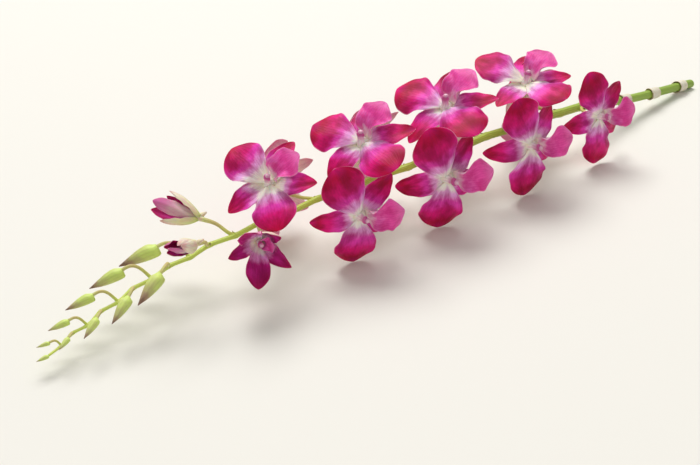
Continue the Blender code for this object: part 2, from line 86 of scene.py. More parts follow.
def through(stations, x):
    """A smooth value at x through (station, value) pairs."""
    pairs = sorted(stations)
    x = min(max(x, pairs[0][0]), pairs[-1][0])
    at = max(i for i in range(len(pairs) - 1) if pairs[i][0] <= x or i == 0)

    def slope(i):
        before, after = pairs[max(i - 1, 0)], pairs[min(i + 1, len(pairs) - 1)]
        return (after[1] - before[1]) / (after[0] - before[0])

    (x0, y0), (x1, y1) = pairs[at], pairs[at + 1]
    span = x1 - x0
    t = (x - x0) / span
    return (
        (2 * t**3 - 3 * t**2 + 1) * y0
        + (t**3 - 2 * t**2 + t) * span * slope(at)
        + (3 * t**2 - 2 * t**3) * y1
        + (t**3 - t**2) * span * slope(at + 1)
    )


def zigzag(x):
    """The rachis bends a little to alternate sides at each of its joints."""
    count = len(RACHIS_JOINTS)
    offsets = [(-1) ** i * (ZIGZAG_START + ZIGZAG_GROWTH * i / count) for i in range(count)]
    offsets[0] = 0.0
    return float(np.interp(-x, [-joint for joint in RACHIS_JOINTS], offsets))


def stem_point(x):
    """The stem's centre at a station in millimetres, its bends eased a little."""
    bend = (zigzag(x - BEND_EASED_OVER) + 2 * zigzag(x) + zigzag(x + BEND_EASED_OVER)) / 4
    return Vector((x, through(STEM_SWAY, x) + bend, through(STEM_HEIGHT, x))) * MM


def stem_radius(x):
    """The cane keeps its thickness, and the rachis tapers to the tip."""
    share = max(0.0, (CUT_END_X - x) / (CUT_END_X - TIP_X))
    return CANE_RADIUS + (TIP_RADIUS - CANE_RADIUS) * share**STEM_TAPER


def stem_frame(x):
    """Unit vectors at x: towards the tip, up across the stem, and sideways towards -Y."""
    ahead, behind = (Vector((at, through(STEM_SWAY, at), through(STEM_HEIGHT, at)))
                     for at in (x - DIRECTION_REACH, x + DIRECTION_REACH))
    tipward = (ahead - behind).normalized()
    side = UP.cross(tipward).normalized()
    return tipward, tipward.cross(side), side


def radial(x, roll):
    """The direction out of the stem at this roll, in degrees: 0 is up and +90 is towards -Y."""
    _, up, side = stem_frame(x)
    return (up * cos(radians(roll)) + side * sin(radians(roll))).normalized()


def hump(x, at, width):
    """A smooth hump of height 1 round a place, which fades out at both sides."""
    return np.exp(-(((x - at) / width) ** 2))


def climb(x, start, full):
    """A straight climb from 0 at the start to 1 where it is full."""
    return np.clip((x - start) / (full - start), 0, 1)


def all_round(count):
    """Even angles once round."""
    return np.arange(count) * 2 * np.pi / count


def ring(centre, normal, radii, start=UP):
    """Points round a centre, one for each radius in metres, counted from the start direction."""
    normal = normal.normalized()
    across = (start - normal * start.dot(normal)).normalized()
    other = normal.cross(across)
    turn = all_round(len(radii))
    spokes = np.cos(turn)[:, None] * np.array(across) + np.sin(turn)[:, None] * np.array(other)
    return np.array(centre) + spokes * np.asarray(radii)[:, None]


def put_in_scene(name, data):
    """A new object that shows a mesh, light or camera."""
    shown = bpy.data.objects.new(name, data)
    bpy.context.scene.collection.objects.link(shown)
    return shown


class Tissue:
    """The mesh of one piece, gathered body by body.

    The map `place` says how far across and along its body a corner lies, and the map `draw`
    gives each body two numbers of its own, so that no two petals or buds look alike. The second
    one says how ripe its colours are."""

    def __init__(self):
        self.points, self.faces, self.slots, self.place, self.draw = [], [], [], [], []

    def add_body(self, loops, slots=0, across=None, along=None,
                 draw=(MIDDLE_DRAW, MIDDLE_DRAW), capped=True):
        """Adds a body through loops of points, with closed ends where it is capped.

        `slots` gives each row or column of its faces a finish."""
        loops = np.asarray(loops, float)
        rows, count = loops.shape[:2]
        row, column = np.indices((rows, count + 1))
        index = len(self.points) + row * count + column % count
        self.points += loops.reshape(-1, 3).tolist()
        across = np.linspace(0, 1, count + 1) if across is None else np.asarray(across)
        along = np.linspace(0, 1, rows) if along is None else np.asarray(along)
        place = np.stack(np.broadcast_arrays(across[None, :], along[:, None]), axis=-1)
        draw = np.broadcast_to(draw, (rows, count + 1, 2))
        slots = np.broadcast_to(slots, (rows - 1, count))

        def corners(grid):
            return np.stack([grid[:-1, :-1], grid[:-1, 1:], grid[1:, 1:], grid[1:, :-1]], axis=2)

        self.faces += corners(index).reshape(-1, 4).tolist()
        self.slots += slots.ravel().tolist()
        self.place.append(corners(place).reshape(-1, 2))
        self.draw.append(corners(draw).reshape(-1, 2))
        for end in (0, rows - 1) if capped else ():
            self.faces.append(index[end, :count].tolist())
            self.slots.append(int(slots[min(end, rows - 2), 0]))
            self.place.append(place[end, :count])
            self.draw.append(draw[end, :count])

    def piece(self, name, finishes, weld=None):
        """The finished object, with its faces turned outwards and shaded smooth.

        `weld` is how near to each other, in metres, two points are joined into one."""
        mesh = bpy.data.meshes.new(name)
        mesh.from_pydata(self.points, [], self.faces)
        mesh.polygons.foreach_set("material_index", self.slots)
        for title, corners in (("place", self.place), ("draw", self.draw)):
            layer = mesh.uv_layers.new(name=title)
            layer.data.foreach_set("uv", np.concatenate(corners).astype(np.float32).ravel())
        solid = bmesh.new()
        solid.from_mesh(mesh)
        if weld:
            bmesh.ops.remove_doubles(solid, verts=solid.verts, dist=weld)
        bmesh.ops.recalc_face_normals(solid, faces=solid.faces)
        solid.to_mesh(mesh)
        solid.free()
        mesh.shade_smooth()
        for finish in finishes:
            mesh.materials.append(finish)
        return put_in_scene(name, mesh)


def wire(tree, kind, inputs=None, **settings):
    """The outputs of a new node, with its settings made and its inputs set or linked."""
    node = tree.nodes.new("ShaderNode" + kind)
    for key, value in settings.items():
        setattr(node, key, value)
    for key, value in (inputs or {}).items():
        if isinstance(value, bpy.types.NodeSocket):
            tree.links.new(value, node.inputs[key])
        else:
            node.inputs[key].default_value = value
    return node.outputs


def maths(tree, operation, *values):
    """One step of arithmetic on numbers that vary over the surface."""
    return wire(tree, "Math", dict(enumerate(values)), operation=operation)[0]


def times(tree, first, second):
    """Two numbers multiplied."""
    return maths(tree, "MULTIPLY", first, second)


def minus(tree, first, second):
    """The second number taken from the first."""
    return maths(tree, "SUBTRACT", first, second)


def tinted(tree, colour, share, tint):
    """A colour with a share of a tint mixed in."""
    return wire(tree, "Mix", {0: share, 6: colour, 7: (*tint, 1.0)}, data_type="RGBA",
                blend_type="MIX", clamp_factor=True)[2]


def ease(tree, value, low, high):
    """A smooth step from 0 at low to 1 at high."""
    return wire(tree, "MapRange", {"Value": value, "From Min": low, "From Max": high},
                interpolation_type="SMOOTHSTEP")[0]


def new_group(name, takes, gives):
    """An empty shader group: its tree, the sockets that it is given, and the one it fills."""
    tree = bpy.data.node_groups.new(name, "ShaderNodeTree")
    for title in takes:
        kind = "NodeSocketVector" if title == "Place" else "NodeSocketFloat"
        tree.interface.new_socket(title, in_out="INPUT", socket_type=kind)
    tree.interface.new_socket(gives, in_out="OUTPUT", socket_type="NodeSocketFloat")
    given = tree.nodes.new("NodeGroupInput").outputs
    return tree, given, tree.nodes.new("NodeGroupOutput").inputs[0]


def use_group(tree, group, **inputs):
    """What a shader group puts out for these inputs."""
    return wire(tree, "Group", inputs, node_tree=group)[0]


def from_middle(tree, x):
    """How far a place lies from the middle line: 0 on it and 1 at either edge."""
    return maths(tree, "ABSOLUTE", maths(tree, "MULTIPLY_ADD", x, 2.0, -1.0))


# Lines that run the length of a petal, bud or stem: its veins, ribs or fibres
DRIFT_ACROSS, DRIFT_ALONG, DRIFT_SEED = 3.0, 2.2, 37.0
tree, given, result = new_group(
    "lengthwise_lines", ("Place", "Seed", "Count", "Wander", "Fineness"), "Mask")
lengthwise_lines = tree
x, y, _ = wire(tree, "SeparateXYZ", {0: given["Place"]})
flow = wire(tree, "CombineXYZ", {
    0: times(tree, x, DRIFT_ACROSS), 1: times(tree, y, DRIFT_ALONG),
    2: times(tree, given["Seed"], DRIFT_SEED)})[0]
drift = wire(tree, "TexNoise", {"Vector": flow, "Scale": 1.6, "Detail": 3.0})[0]
drift = times(tree, minus(tree, drift, 0.5), given["Wander"])
phase = maths(tree, "FRACT", maths(tree, "ADD", times(tree, x, given["Count"]), drift))
crest = from_middle(tree, phase)
tree.links.new(maths(tree, "POWER", crest, given["Fineness"]), result)

# Soft patches of deeper and paler colour, which follow the shape of the petal or bud
PATCH_SEED, PATCH_EDGES = 53.0, (0.28, 0.72)
tree, given, result = new_group("soft_patches", ("Place", "Seed", "Scale", "Stretch"), "Value")
soft_patches = tree
x, y, _ = wire(tree, "SeparateXYZ", {0: given["Place"]})
spot = wire(tree, "CombineXYZ", {
    0: times(tree, x, given["Stretch"]), 1: y, 2: times(tree, given["Seed"], PATCH_SEED)})[0]
cloud = wire(tree, "TexNoise", {
    "Vector": spot, "Scale": given["Scale"], "Detail": 4.0, "Roughness": 0.55})[0]
tree.links.new(ease(tree, cloud, *PATCH_EDGES), result)

# A painted highlight: a thin pale line along both edges and, narrower, at the tip of a petal,
# where light catches its thin edge
TIP_MARGIN = 0.3
tree, given, result = new_group("edge_highlight", ("Place", "Width"), "Mask")
edge_highlight = tree
x, y, _ = wire(tree, "SeparateXYZ", {0: given["Place"]})
inner = minus(tree, 1.0, given["Width"])
inner_tip = minus(tree, 1.0, times(tree, given["Width"], TIP_MARGIN))
tree.links.new(maths(tree, "MAXIMUM", ease(tree, from_middle(tree, x), inner, 1.0),
                     ease(tree, y, inner_tip, 1.0)), result)

# The fine grain of living tissue: cells, and a sway a few cells wide
SWAY_SCALE = 0.25
tree, given, result = new_group("cell_grain", ("Scale",), "Height")
cell_grain = tree
where = wire(tree, "TexCoord")["Object"]
cells = wire(tree, "TexVoronoi", {"Vector": where, "Scale": given["Scale"]},
             feature="SMOOTH_F1")["Distance"]
sway = wire(tree, "TexNoise", {
    "Vector": where, "Scale": times(tree, given["Scale"], SWAY_SCALE), "Detail": 2.0})[0]
tree.links.new(maths(tree, "ADD", cells, sway), result)

PATCH_SHIFT, ROUGH_VARIES, CELL_RELIEF = 0.12, 0.14, 0.35
BUMP_STRENGTH, GLOW_DEPTH = 0.6, 0.0012
PLAIN_FOOT = (-0.1, 0.35)


def tissue_finish(name, tones, patches, lines, rim=None, pull=0.0, ripen=0.0, rough=0.42,
                  grain=2200.0, relief=0.00012, glow=0.3, glow_tint=(1.0, 0.3, 0.3), shine=0.3):
    """Living tissue: tones from foot to tip, patches, lines and, where it has one, a rim painted
    pale as a highlight.

    `patches` is (scale, stretch, tint, strength), `lines` (count, wander, fineness, tint,
    strength, fade) and `rim` (width, tint, strength). `pull` brings the tip's tones in along
    the edges, or the foot's where it is negative, and `ripen` brings them in by the second of
    the body's own numbers."""
    finish = bpy.data.materials.new(name)
    finish.use_nodes = True
    tree = finish.node_tree
    shader = tree.nodes["Principled BSDF"]
    place = wire(tree, "UVMap", uv_map="place")[0]
    seed, ripe, _ = wire(tree, "SeparateXYZ", {0: wire(tree, "UVMap", uv_map="draw")[0]})
    x, y, _ = wire(tree, "SeparateXYZ", {0: place})

    scale, stretch, patch_tint, patch_strength = patches
    cloud = use_group(tree, soft_patches, Place=place, Seed=seed, Scale=scale, Stretch=stretch)
    level = times(tree, y, maths(
        tree, "MULTIPLY_ADD", maths(tree, "POWER", from_middle(tree, x), 2.0), pull, 1.0))
    for value, strength in ((cloud, PATCH_SHIFT), (ripe, ripen)):
        level = maths(tree, "MULTIPLY_ADD", minus(tree, value, 0.5), strength, level)
    ramp = tree.nodes.new("ShaderNodeValToRGB")
    ramp.color_ramp.interpolation = "EASE"
    for _ in range(len(tones) - 2):
        ramp.color_ramp.elements.new(0.5)
    for element, (at, tone) in zip(ramp.color_ramp.elements, tones):
        element.position = at
        element.color = (*tone, 1.0)
    tree.links.new(level, ramp.inputs[0])
    from_foot = ease(tree, y, *PLAIN_FOOT)
    patch = times(tree, times(tree, cloud, patch_strength), from_foot)
    colour = tinted(tree, ramp.outputs[0], patch, patch_tint)

    count, wander, fineness, line_tint, line_strength, fade = lines
    mask = use_group(tree, lengthwise_lines, Place=place, Seed=seed, Count=count, Wander=wander,
                     Fineness=fineness)
    mask = times(tree, mask, minus(tree, 1.0, ease(tree, y, fade, 1.0)))
    mask = times(tree, mask, from_foot)
    colour = tinted(tree, colour, times(tree, mask, line_strength), line_tint)
    # The rim is a painted highlight: a pale tint mixed in along the edges and at the tip, where
    # light would catch them.
    if rim:
        width, highlight_tint, highlight_strength = rim
        edge = use_group(tree, edge_highlight, Place=place, Width=width)
        colour = tinted(tree, colour, times(tree, edge, highlight_strength), highlight_tint)
    tree.links.new(colour, shader.inputs["Base Color"])
    tree.links.new(maths(tree, "MULTIPLY_ADD", cloud, ROUGH_VARIES, rough - ROUGH_VARIES / 2),
                   shader.inputs["Roughness"])
    cells = use_group(tree, cell_grain, Scale=grain)
    height = maths(tree, "MULTIPLY_ADD", cells, CELL_RELIEF, mask)
    bump = wire(tree, "Bump", {"Height": height, "Strength": BUMP_STRENGTH, "Distance": relief})
    tree.links.new(bump["Normal"], shader.inputs["Normal"])
    for socket, value in (("Subsurface Weight", glow), ("Subsurface Radius", glow_tint),
                          ("Subsurface Scale", GLOW_DEPTH), ("Specular IOR Level", shine)):
        shader.inputs[socket].default_value = value
    return finish


stem_green = tissue_finish(
    "stem_green",
    tones=((0.0, (0.28, 0.42, 0.07)), (0.3, (0.38, 0.54, 0.07)), (0.62, (0.58, 0.72, 0.1)),
           (1.0, (0.72, 0.82, 0.17))),
    patches=(9.0, 1.0, (0.42, 0.4, 0.12), 0.22),
    lines=(11.0, 0.8, 3.0, (0.12, 0.2, 0.03), 0.35, 0.98),
    grain=1800.0, relief=0.0002, glow=0.12, glow_tint=(0.5, 1.0, 0.3))
cut_pith = tissue_finish(
    "cut_pith",
    tones=((0.0, (0.62, 0.66, 0.38)), (0.55, (0.68, 0.68, 0.42)), (0.85, (0.45, 0.5, 0.2)),
           (1.0, (0.22, 0.3, 0.08))),
    patches=(30.0, 1.0, (0.5, 0.42, 0.2), 0.4),
    lines=(30.0, 2.0, 4.0, (0.48, 0.44, 0.2), 0.4, 0.8),
    rough=0.62, grain=4200.0, relief=0.0003, glow=0.15, glow_tint=(0.6, 1.0, 0.3))

cane = Tissue()
turn = all_round(STEM_SIDES)
ribs = 1 + RIB_DEPTH * np.cos(turn * RIBS) + FLUTE_DEPTH * np.cos(turn * FLUTES + 0.6)
stations = np.linspace(CUT_END_X, TIP_X, int((CUT_END_X - TIP_X) / STEM_STEP))
loops, near_joint = [], []
for x in stations:
    tipward, up, _ = stem_frame(x)
    cut_turn = CUT_SLANT * climb(x, start=CUT_END_X - CUT_TURNS_OVER, full=CUT_END_X)
    cane_joint = hump(x, at=np.array(CANE_JOINTS), width=2.6).sum()
    rachis_joint = hump(x, at=np.array(RACHIS_JOINTS), width=1.9).sum()
    radius = stem_radius(x) + CANE_SWELL * cane_joint + RACHIS_SWELL * rachis_joint
    loops.append(ring(stem_point(x), Matrix.Rotation(cut_turn, 3, "Z") @ tipward,
                      ribs * radius * MM, up))
    near_joint.append(min(1.0, cane_joint + rachis_joint))
cut_centre = loops[0].mean(axis=0)
cut_normal = np.array(Matrix.Rotation(CUT_SLANT, 3, "Z") @ stem_frame(CUT_END_X)[0])
face_loops = [cut_centre + (loops[0] - cut_centre) * share
              + cut_normal * MM * (CUT_DOME * (1 - share**2)
                                   + CUT_RIPPLE * sin(CUT_RIPPLES * share))
              for share in CUT_RINGS]
slots = [[1]] * len(face_loops) + [[0]] * (len(loops) - 1)
draw = [[(0, MIDDLE_DRAW)]] * len(face_loops)
draw += [[(0, MIDDLE_DRAW - JOINT_GREENER * near)] for near in near_joint]
cane.add_body(face_loops + loops, slots, along=[*CUT_RINGS, *np.linspace(0, 1, len(loops))],
              draw=draw)
stem_skin = cane.piece("cane_and_rachis", [stem_green, cut_pith])
stem_skin.data.set_sharp_from_angle(angle=SHARP_ANGLE)
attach(stem_skin, "root")
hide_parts("stem")


# The joint sheaths
# Dry leaf bases that hug the joints of the bare cane. Each is a papery tube, split by age into
# fine fibres at its mouth, pale straw with browner veins, and it loosens a little from the cane.

SHEATH_LENGTH, SHEATH_WALL, SHEATH_CLEAR, SHEATH_HEM = 10.08, 0.32, 0.3, 0.45
SHEATH_FLARE, TATTER_LEAN, TATTER_VARIES = 0.35, 0.9, 0.35
SHEATH_SIDES, SHEATH_RINGS, SHEATH_SEED, PLEAT_DEPTH, PLEATS = 40, 13, 100, 0.012, 13

sheath_paper = tissue_finish(
    "sheath_paper",
    tones=((0.0, (0.62, 0.54, 0.36)), (0.2, (0.8, 0.75, 0.6)), (0.8, (0.84, 0.8, 0.68)),
           (1.0, (0.62, 0.48, 0.32))),
    patches=(5.0, 2.0, (0.66, 0.56, 0.4), 0.4),
    lines=(26.0, 0.5, 3.0, (0.52, 0.4, 0.26), 0.32, 0.95),
    rough=0.66, grain=2600.0, relief=0.0002, glow=0.12, glow_tint=(1.0, 0.7, 0.4))
for number, joint in enumerate(CANE_JOINTS, 1):
    dice = random.Random(SHEATH_SEED + number)
    turn = all_round(SHEATH_SIDES)
    lean_over = dice.uniform(0, 2 * pi)
    tatter = TATTER_LEAN * np.cos(turn + lean_over) + np.array(
        [dice.uniform(-TATTER_VARIES, TATTER_VARIES) for _ in turn])
    pleats = 1 + PLEAT_DEPTH * np.cos(turn * PLEATS + dice.uniform(0, 6))
    outer, inner = [], []
    for share in np.linspace(0, 1, SHEATH_RINGS):
        x = joint + SHEATH_LENGTH * (0.5 - share)
        tipward, up, _ = stem_frame(x)
        flare = SHEATH_FLARE * climb(share, start=0.75, full=1)
        clear = stem_radius(x) + CANE_SWELL + SHEATH_CLEAR + flare
        wall = SHEATH_WALL * (SHEATH_HEM if share == 0 else 1.0)
        tear = np.outer(tatter * climb(share, start=0.7, full=1), np.array(tipward)) * MM
        outer.append(ring(stem_point(x), tipward, pleats * (clear + wall) * MM, up) + tear)
        inner.append(ring(stem_point(x), tipward, pleats * clear * MM, up) + tear)
    tube = Tissue()
    along = np.linspace(0, 1, SHEATH_RINGS)
    tube.add_body(outer + inner[::-1] + outer[:1], along=[*along, *along[::-1], 0],
                  draw=(dice.random(), MIDDLE_DRAW), capped=False)
    sheath = tube.piece(f"joint_sheath_{number}", [sheath_paper], weld=0.01 * MM)
    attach(sheath, "root")
    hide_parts(f"sheath_{number}")


# The open flowers
# Three sepals and two broad clawed petals of thin velvety tissue round a short column, with a
# chin below it. White at the heart, then lilac, then hot magenta, and pale on their backs.

# How each open flower sits at its joint: roll of the stalk round the stem, turn of the face from
# that roll, lean towards the tip, spin about the face, reach, advance, size and cupping.
OPEN_FLOWERS = (
    (80, 0, 6, 10, 27, 13, 1.00, 2), (-82, 0, 14, -12, 29, 14, 1.02, -4),
    (0, 10, 12, 12, 31, 15, 1.07, 8), (84, 2, 10, 10, 30, 14, 1.06, -5),
    (-90, 4, 18, 14, 28, 15, 1.09, -2), (-6, 12, 22, 2, 32, 15, 1.12, 8),
    (88, 0, 14, 10, 30, 15, 1.1, -6), (-86, 0, 12, -10, 29, 15, 1.09, -2),
    (8, 2, 24, 12, 32, 15, 1.07, 4), (90, 0, 12, 6, 30, 14, 1.03, -7),
    (-92, 4, 22, 12, 28, 14, 1.03, -4), (4, 14, 28, -8, 28, 14, 0.98, 8),
)
BLADE_WALL, BLADE_NARROWEST, SLOPE_REACH = 0.62, 0.35, 0.004
# Places in a flower's list of finishes
FACE, PETAL_BACK, SEPAL_BACK, HEART, COLUMN, CAP, LIP_FACE, LIP_BACK = range(8)
# `shut` is what the blades of a closed flower gain, and `shut_width` the share of width they keep
SEPAL = dict(start=1.9, rise=3, ruffle=0.5, waves=1.0, rows=26, columns=14, frill=0.38,
             quilt=0.34, back=SEPAL_BACK, shut=dict(layer=0, rise=56, bend=90, curl=36),
             shut_width=0.66)
DORSAL = dict(SEPAL, length=29, width=16, claw=5.2, peak=0.48, full=0.64, bend=-23, curl=24,
              sweep=0.02, clock=0, layer=-0.8)
LATERAL = dict(SEPAL, length=30, width=16.5, claw=6.0, peak=0.45, full=0.68, bend=-27, curl=22,
               sweep=0.16, clock=137, layer=-1.3)
PETAL = dict(start=1.9, length=34, width=29.0, claw=3.6, peak=0.62, full=0.64, rise=15, bend=-36,
             curl=-14, sweep=0.05, ruffle=1.2, waves=1.5, clock=75, layer=1.2, rows=32, columns=22,
             frill=0.8, quilt=0.6, back=PETAL_BACK,
             shut=dict(layer=-1.2, rise=62, bend=90, curl=70), shut_width=0.28)
BLADES_VARY = dict(layer=0.1, rise=4, bend=7, curl=6)
CLOCK_VARIES, TWIST_VARIES, LENGTH_VARIES, TONE_VARIES = 3, 0.22, 0.04, 0.3
FLOWER_SEED, LATERAL_STEP = 500, 0.45
RUFFLE_SKEW, FRILL_WAVES, FRILL_PHASE = 1.3, 3.4, 2.1
QUILT_ALONG, QUILT_ACROSS, QUILT_PHASE = (5.3, -2.2), (2.6, 3.9), 1.7
MIDRIB_DEPTH, MIDRIB_FADE = 0.28, 0.6
EDGE_WALL, EDGE_SQUARE, TIP_WALL, TIP_SQUARE = 0.65, 10, 0.02, 12
# Rings at (distance along, radius), how far the heart slopes and narrows in front, and its finish
OPEN_FORM = dict(
    heart=((-5.2, 1.7), (-2.4, 2.8), (0.6, 3.95), (1.5, 3.4)), slope=0.4, narrows=0.45,
    front=HEART, chin=((0.5, 2.7), (5.5, 2.3), (9.5, 1.2)),
    column=((-1.6, 3.2), (0.6, 2.85), (2.8, 2.25), (5.0, 2.05), (6.8, 2.3), (7.9, 1.9)))
OPENING_FORM = dict(
    heart=((-5.2, 1.7), (-2.4, 1.95), (-0.6, 2.2), (0.9, 2.9)), slope=0, narrows=0,
    front=SEPAL_BACK, chin=((0.0, 2.0), (3.8, 1.9), (7.6, 0.9)),
    column=((-0.4, 1.4), (1.1, 2.15), (2.8, 2.1), (5.0, 1.95), (6.8, 2.2), (7.9, 1.9)))
CHIN_DIRECTION, COLUMN_DIRECTION = Vector((0, -0.8, -0.6)), Vector((0.02, -0.22, 0.97))
COLUMN_FLATTENED, WING_BREADTH, CALYX_ROWS = 0.25, 0.24, 11
CAP_RINGS, CAP_SHIFT = ((6.9, 1.3), (7.9, 1.75), (8.5, 1.45)), np.array((0.0, -0.35, 0.0))
TURNED_SIDES, ROUNDED_AT, LEVEL_FROM = 24, (0.3, 0.58, 0.82, 0.97), 0.7


def half_width(blade, u):
    """Half the blade's width at u along it, from 0 at the root to 1 at the tip."""
    lean = log(0.5) / log(blade["peak"])
    body = np.clip(np.sin(np.pi * np.clip(u**lean, 0, 1)), 0, None) ** blade["full"]
    return np.maximum(blade["width"] / 2 * body + blade["claw"] / 2 * (1 - u) ** 3,
                      BLADE_NARROWEST / 2)


def arched(length, rise, bend, u):
    """A strip bent along its length: its slope, and how far out and up it has come at u."""
    rise, bend = radians(rise), radians(bend)
    slope = rise + bend * u
    out = length * (np.sin(slope) - sin(rise)) / bend
    up = length * (cos(rise) - np.cos(slope)) / bend
    return slope, out, up


def rolled(width, roll, v):
    """A strip rolled round its length: where v comes to lie across it and above it."""
    return width * np.sin(roll * v) / roll, width * (1 - np.cos(roll * v)) / roll


def blade_surface(blade, u, v):
    """A blade's middle surface in millimetres, along +Y and facing +Z, with v from -1 to 1."""
    length, phase = blade["length"], blade["phase"]
    slope, forward, lift = arched(length, blade["rise"], blade["bend"], u)
    sideways = blade["hand"] * blade["sweep"] * length * u * u
    width = half_width(blade, u)
    across, fold = rolled(width, radians(blade["curl"]), v)
    swell = np.sin(np.pi * u)
    fold += width * blade["twist"] * v * u * u
    fold += blade["ruffle"] * v * v * swell * np.sin(
        2 * np.pi * blade["waves"] * u + phase + RUFFLE_SKEW * v)
    fold += blade["frill"] * np.abs(v) ** 4 * swell * np.sin(
        2 * np.pi * FRILL_WAVES * u + FRILL_PHASE * phase + np.sign(v))
    fold += blade["quilt"] * swell * np.sin(
        QUILT_ALONG[0] * u + QUILT_ACROSS[0] * v + phase) * np.cos(
        QUILT_ALONG[1] * u + QUILT_ACROSS[1] * v + QUILT_PHASE * phase)
    fold -= MIDRIB_DEPTH * hump(v, at=0, width=0.075) * (1 - u) ** MIDRIB_FADE
    return np.stack([sideways + across, blade["start"] + forward - fold * np.sin(slope),
                     lift + fold * np.cos(slope)], axis=-1)


def add_sheet(tissue, surface, rows, columns, wall, matrix, finishes, draw):
    """Adds a thin sheet with rounded edges, with one finish in front and one at its back."""
    u = np.sin(np.pi / 2 * np.linspace(0, 1, rows + 1))[:, None]
    v = np.sin(np.pi / 2 * np.linspace(-1, 1, columns + 1))[None, :]
    along = (surface(np.minimum(u + SLOPE_REACH, 1), v)
             - surface(np.maximum(u - SLOPE_REACH, 0), v))
    across = (surface(u, np.minimum(v + SLOPE_REACH, 1))
              - surface(u, np.maximum(v - SLOPE_REACH, -1)))
    normal = np.cross(across, along)
    normal /= np.linalg.norm(normal, axis=-1, keepdims=True)
    half = wall / 2 * (1 - (1 - EDGE_WALL) * v**2) * np.sqrt(1 - v**EDGE_SQUARE)
    half = half * np.sqrt(1 - (1 - TIP_WALL) * u**TIP_SQUARE)
    middle = surface(u, v)
    front, back = middle + normal * half[..., None], middle - normal * half[..., None]
    loops = np.concatenate([front, back[:, -2:0:-1]], axis=1)
    share = (v[0] + 1) / 2
    tissue.add_body(moved(loops, matrix), np.repeat(finishes, columns),
                    np.concatenate([share, share[-2::-1]]), u[:, 0], draw)


def flower_blades(openness, cup, seed):
    """The five blades of one flower, each a little different, as flowers grow."""
    dice = random.Random(seed)
    closed = 1 - openness
    blades = []
    for shape, hand in ((DORSAL, 1), (LATERAL, 1), (LATERAL, -1), (PETAL, 1), (PETAL, -1)):
        blade = dict(shape, hand=hand, phase=dice.uniform(0, 6))
        blade["clock"] = -hand * shape["clock"] + CLOCK_VARIES * dice.uniform(-1, 1)
        blade["layer"] -= LATERAL_STEP * (shape is LATERAL and hand < 0)
        blade["rise"] += cup
        for measure, varies in BLADES_VARY.items():
            blade[measure] += shape["shut"][measure] * closed + varies * dice.uniform(-1, 1)
        blade["twist"] = TWIST_VARIES * openness * dice.uniform(-1, 1)
        blade["width"] *= 1 - closed * (1 - blade["shut_width"])
        blade["length"] *= 1 + LENGTH_VARIES * dice.uniform(-1, 1)
        blades.append(blade)
    return blades


def flower_place(x, roll, turn, lean, spin, reach, advance):
    """The matrix of a flower: X to its right, Y towards its dorsal sepal and Z out of its face."""
    tipward = stem_frame(x)[0]
    centre = stem_point(x) + (radial(x, roll) * reach + tipward * advance) * MM
    face = radial(x, roll + turn) * cos(radians(lean))
    face += tipward * sin(radians(lean))
    face.normalize()
    dorsal = (tipward - face * tipward.dot(face)).normalized()
    axes = Matrix((dorsal.cross(face), dorsal, face)).transposed().to_4x4()
    return Matrix.Translation(centre) @ axes @ Matrix.Rotation(radians(spin), 4, "Z")


def moved(points, matrix):
    """Points in millimetres, moved by a matrix in metres."""
    matrix = np.array(matrix)
    return np.asarray(points) @ matrix[:3, :3].T * MM + matrix[:3, 3]


def turned_loops(direction, rings, shape, steps, end):
    """Loops of a turned body in millimetres, rounded over at its end. `shape` scales its ring."""
    direction = direction.normalized()
    start = Vector((0, 1, 0)) if abs(direction.y) < LEVEL_FROM else UP
    loops = []
    for at in np.linspace(rings[0][0], rings[-1][0], steps):
        loops.append(ring(direction * at, direction, through(rings, at) * shape(at), start))
    last, width = rings[-1]
    for share in ROUNDED_AT:
        angle = share * pi / 2
        loops.append(ring(direction * (last + width * end * sin(angle)), direction,
                          width * cos(angle) * shape(last), start))
    return loops


def add_flower(tissue, place, size, openness, cup, seed):
    """Adds a flower's five blades, its heart, its chin and its column to a piece."""
    dice = random.Random(FLOWER_SEED + seed)
    where = place @ Matrix.Scale(size, 4)
    tone = dice.random()
    for blade in flower_blades(openness, cup, seed):
        stand = Matrix.Rotation(radians(blade["clock"]), 4, "Z")
        stand.translation = (0, 0, blade["layer"] * MM)
        add_sheet(tissue, lambda u, v: blade_surface(blade, u, v), blade["rows"],
                  blade["columns"], BLADE_WALL, where @ stand, (FACE, blade["back"]),
                  (dice.random(), (1 - TONE_VARIES) * tone + TONE_VARIES * dice.random()))
    form = OPEN_FORM if openness == 1 else OPENING_FORM
    turn = all_round(TURNED_SIDES)

    def plain(at):
        """Round all along."""
        return np.ones(TURNED_SIDES)

    def heart_shape(at):
        """Broad in front on the lip's side alone, where it carries the lip."""
        narrower = form["narrows"] * climb(at, start=-3, full=0)
        return 1 - narrower * (0.5 + 0.5 * np.cos(turn)) ** 0.7

    def column_shape(at):
        """Flattened on the lip's side, with a small wing at each side below the cap."""
        wings = WING_BREADTH * np.sin(turn) ** 6 * hump(at, 6.7, width=1.1)
        return 1 - COLUMN_FLATTENED * np.clip(-np.cos(turn), 0, 1) ** 2 + wings

    heart = np.array(turned_loops(UP, form["heart"], heart_shape, steps=14, end=0.3))
    past_foot = np.clip(heart[..., 1] + form["heart"][2][1], 0, None)
    heart[..., 2] -= form["slope"] * past_foot * climb(
        heart[..., 2:3].mean(axis=1), start=-3, full=0)
    outside = np.full((len(heart) - 1, 1), SEPAL_BACK)
    outside[CALYX_ROWS:] = form["front"]
    tissue.add_body(moved(heart, where), outside, draw=(tone, MIDDLE_DRAW))
    chin = turned_loops(CHIN_DIRECTION, form["chin"], plain, steps=12, end=1)
    column = turned_loops(COLUMN_DIRECTION, form["column"], column_shape, steps=18, end=0.35)
    cap = turned_loops(COLUMN_DIRECTION, CAP_RINGS, plain, steps=8, end=0.6) + CAP_SHIFT
    for loops, finish in ((chin, SEPAL_BACK), (column, COLUMN), (cap, CAP)):
        tissue.add_body(moved(loops, where), finish, draw=(dice.random(), MIDDLE_DRAW))


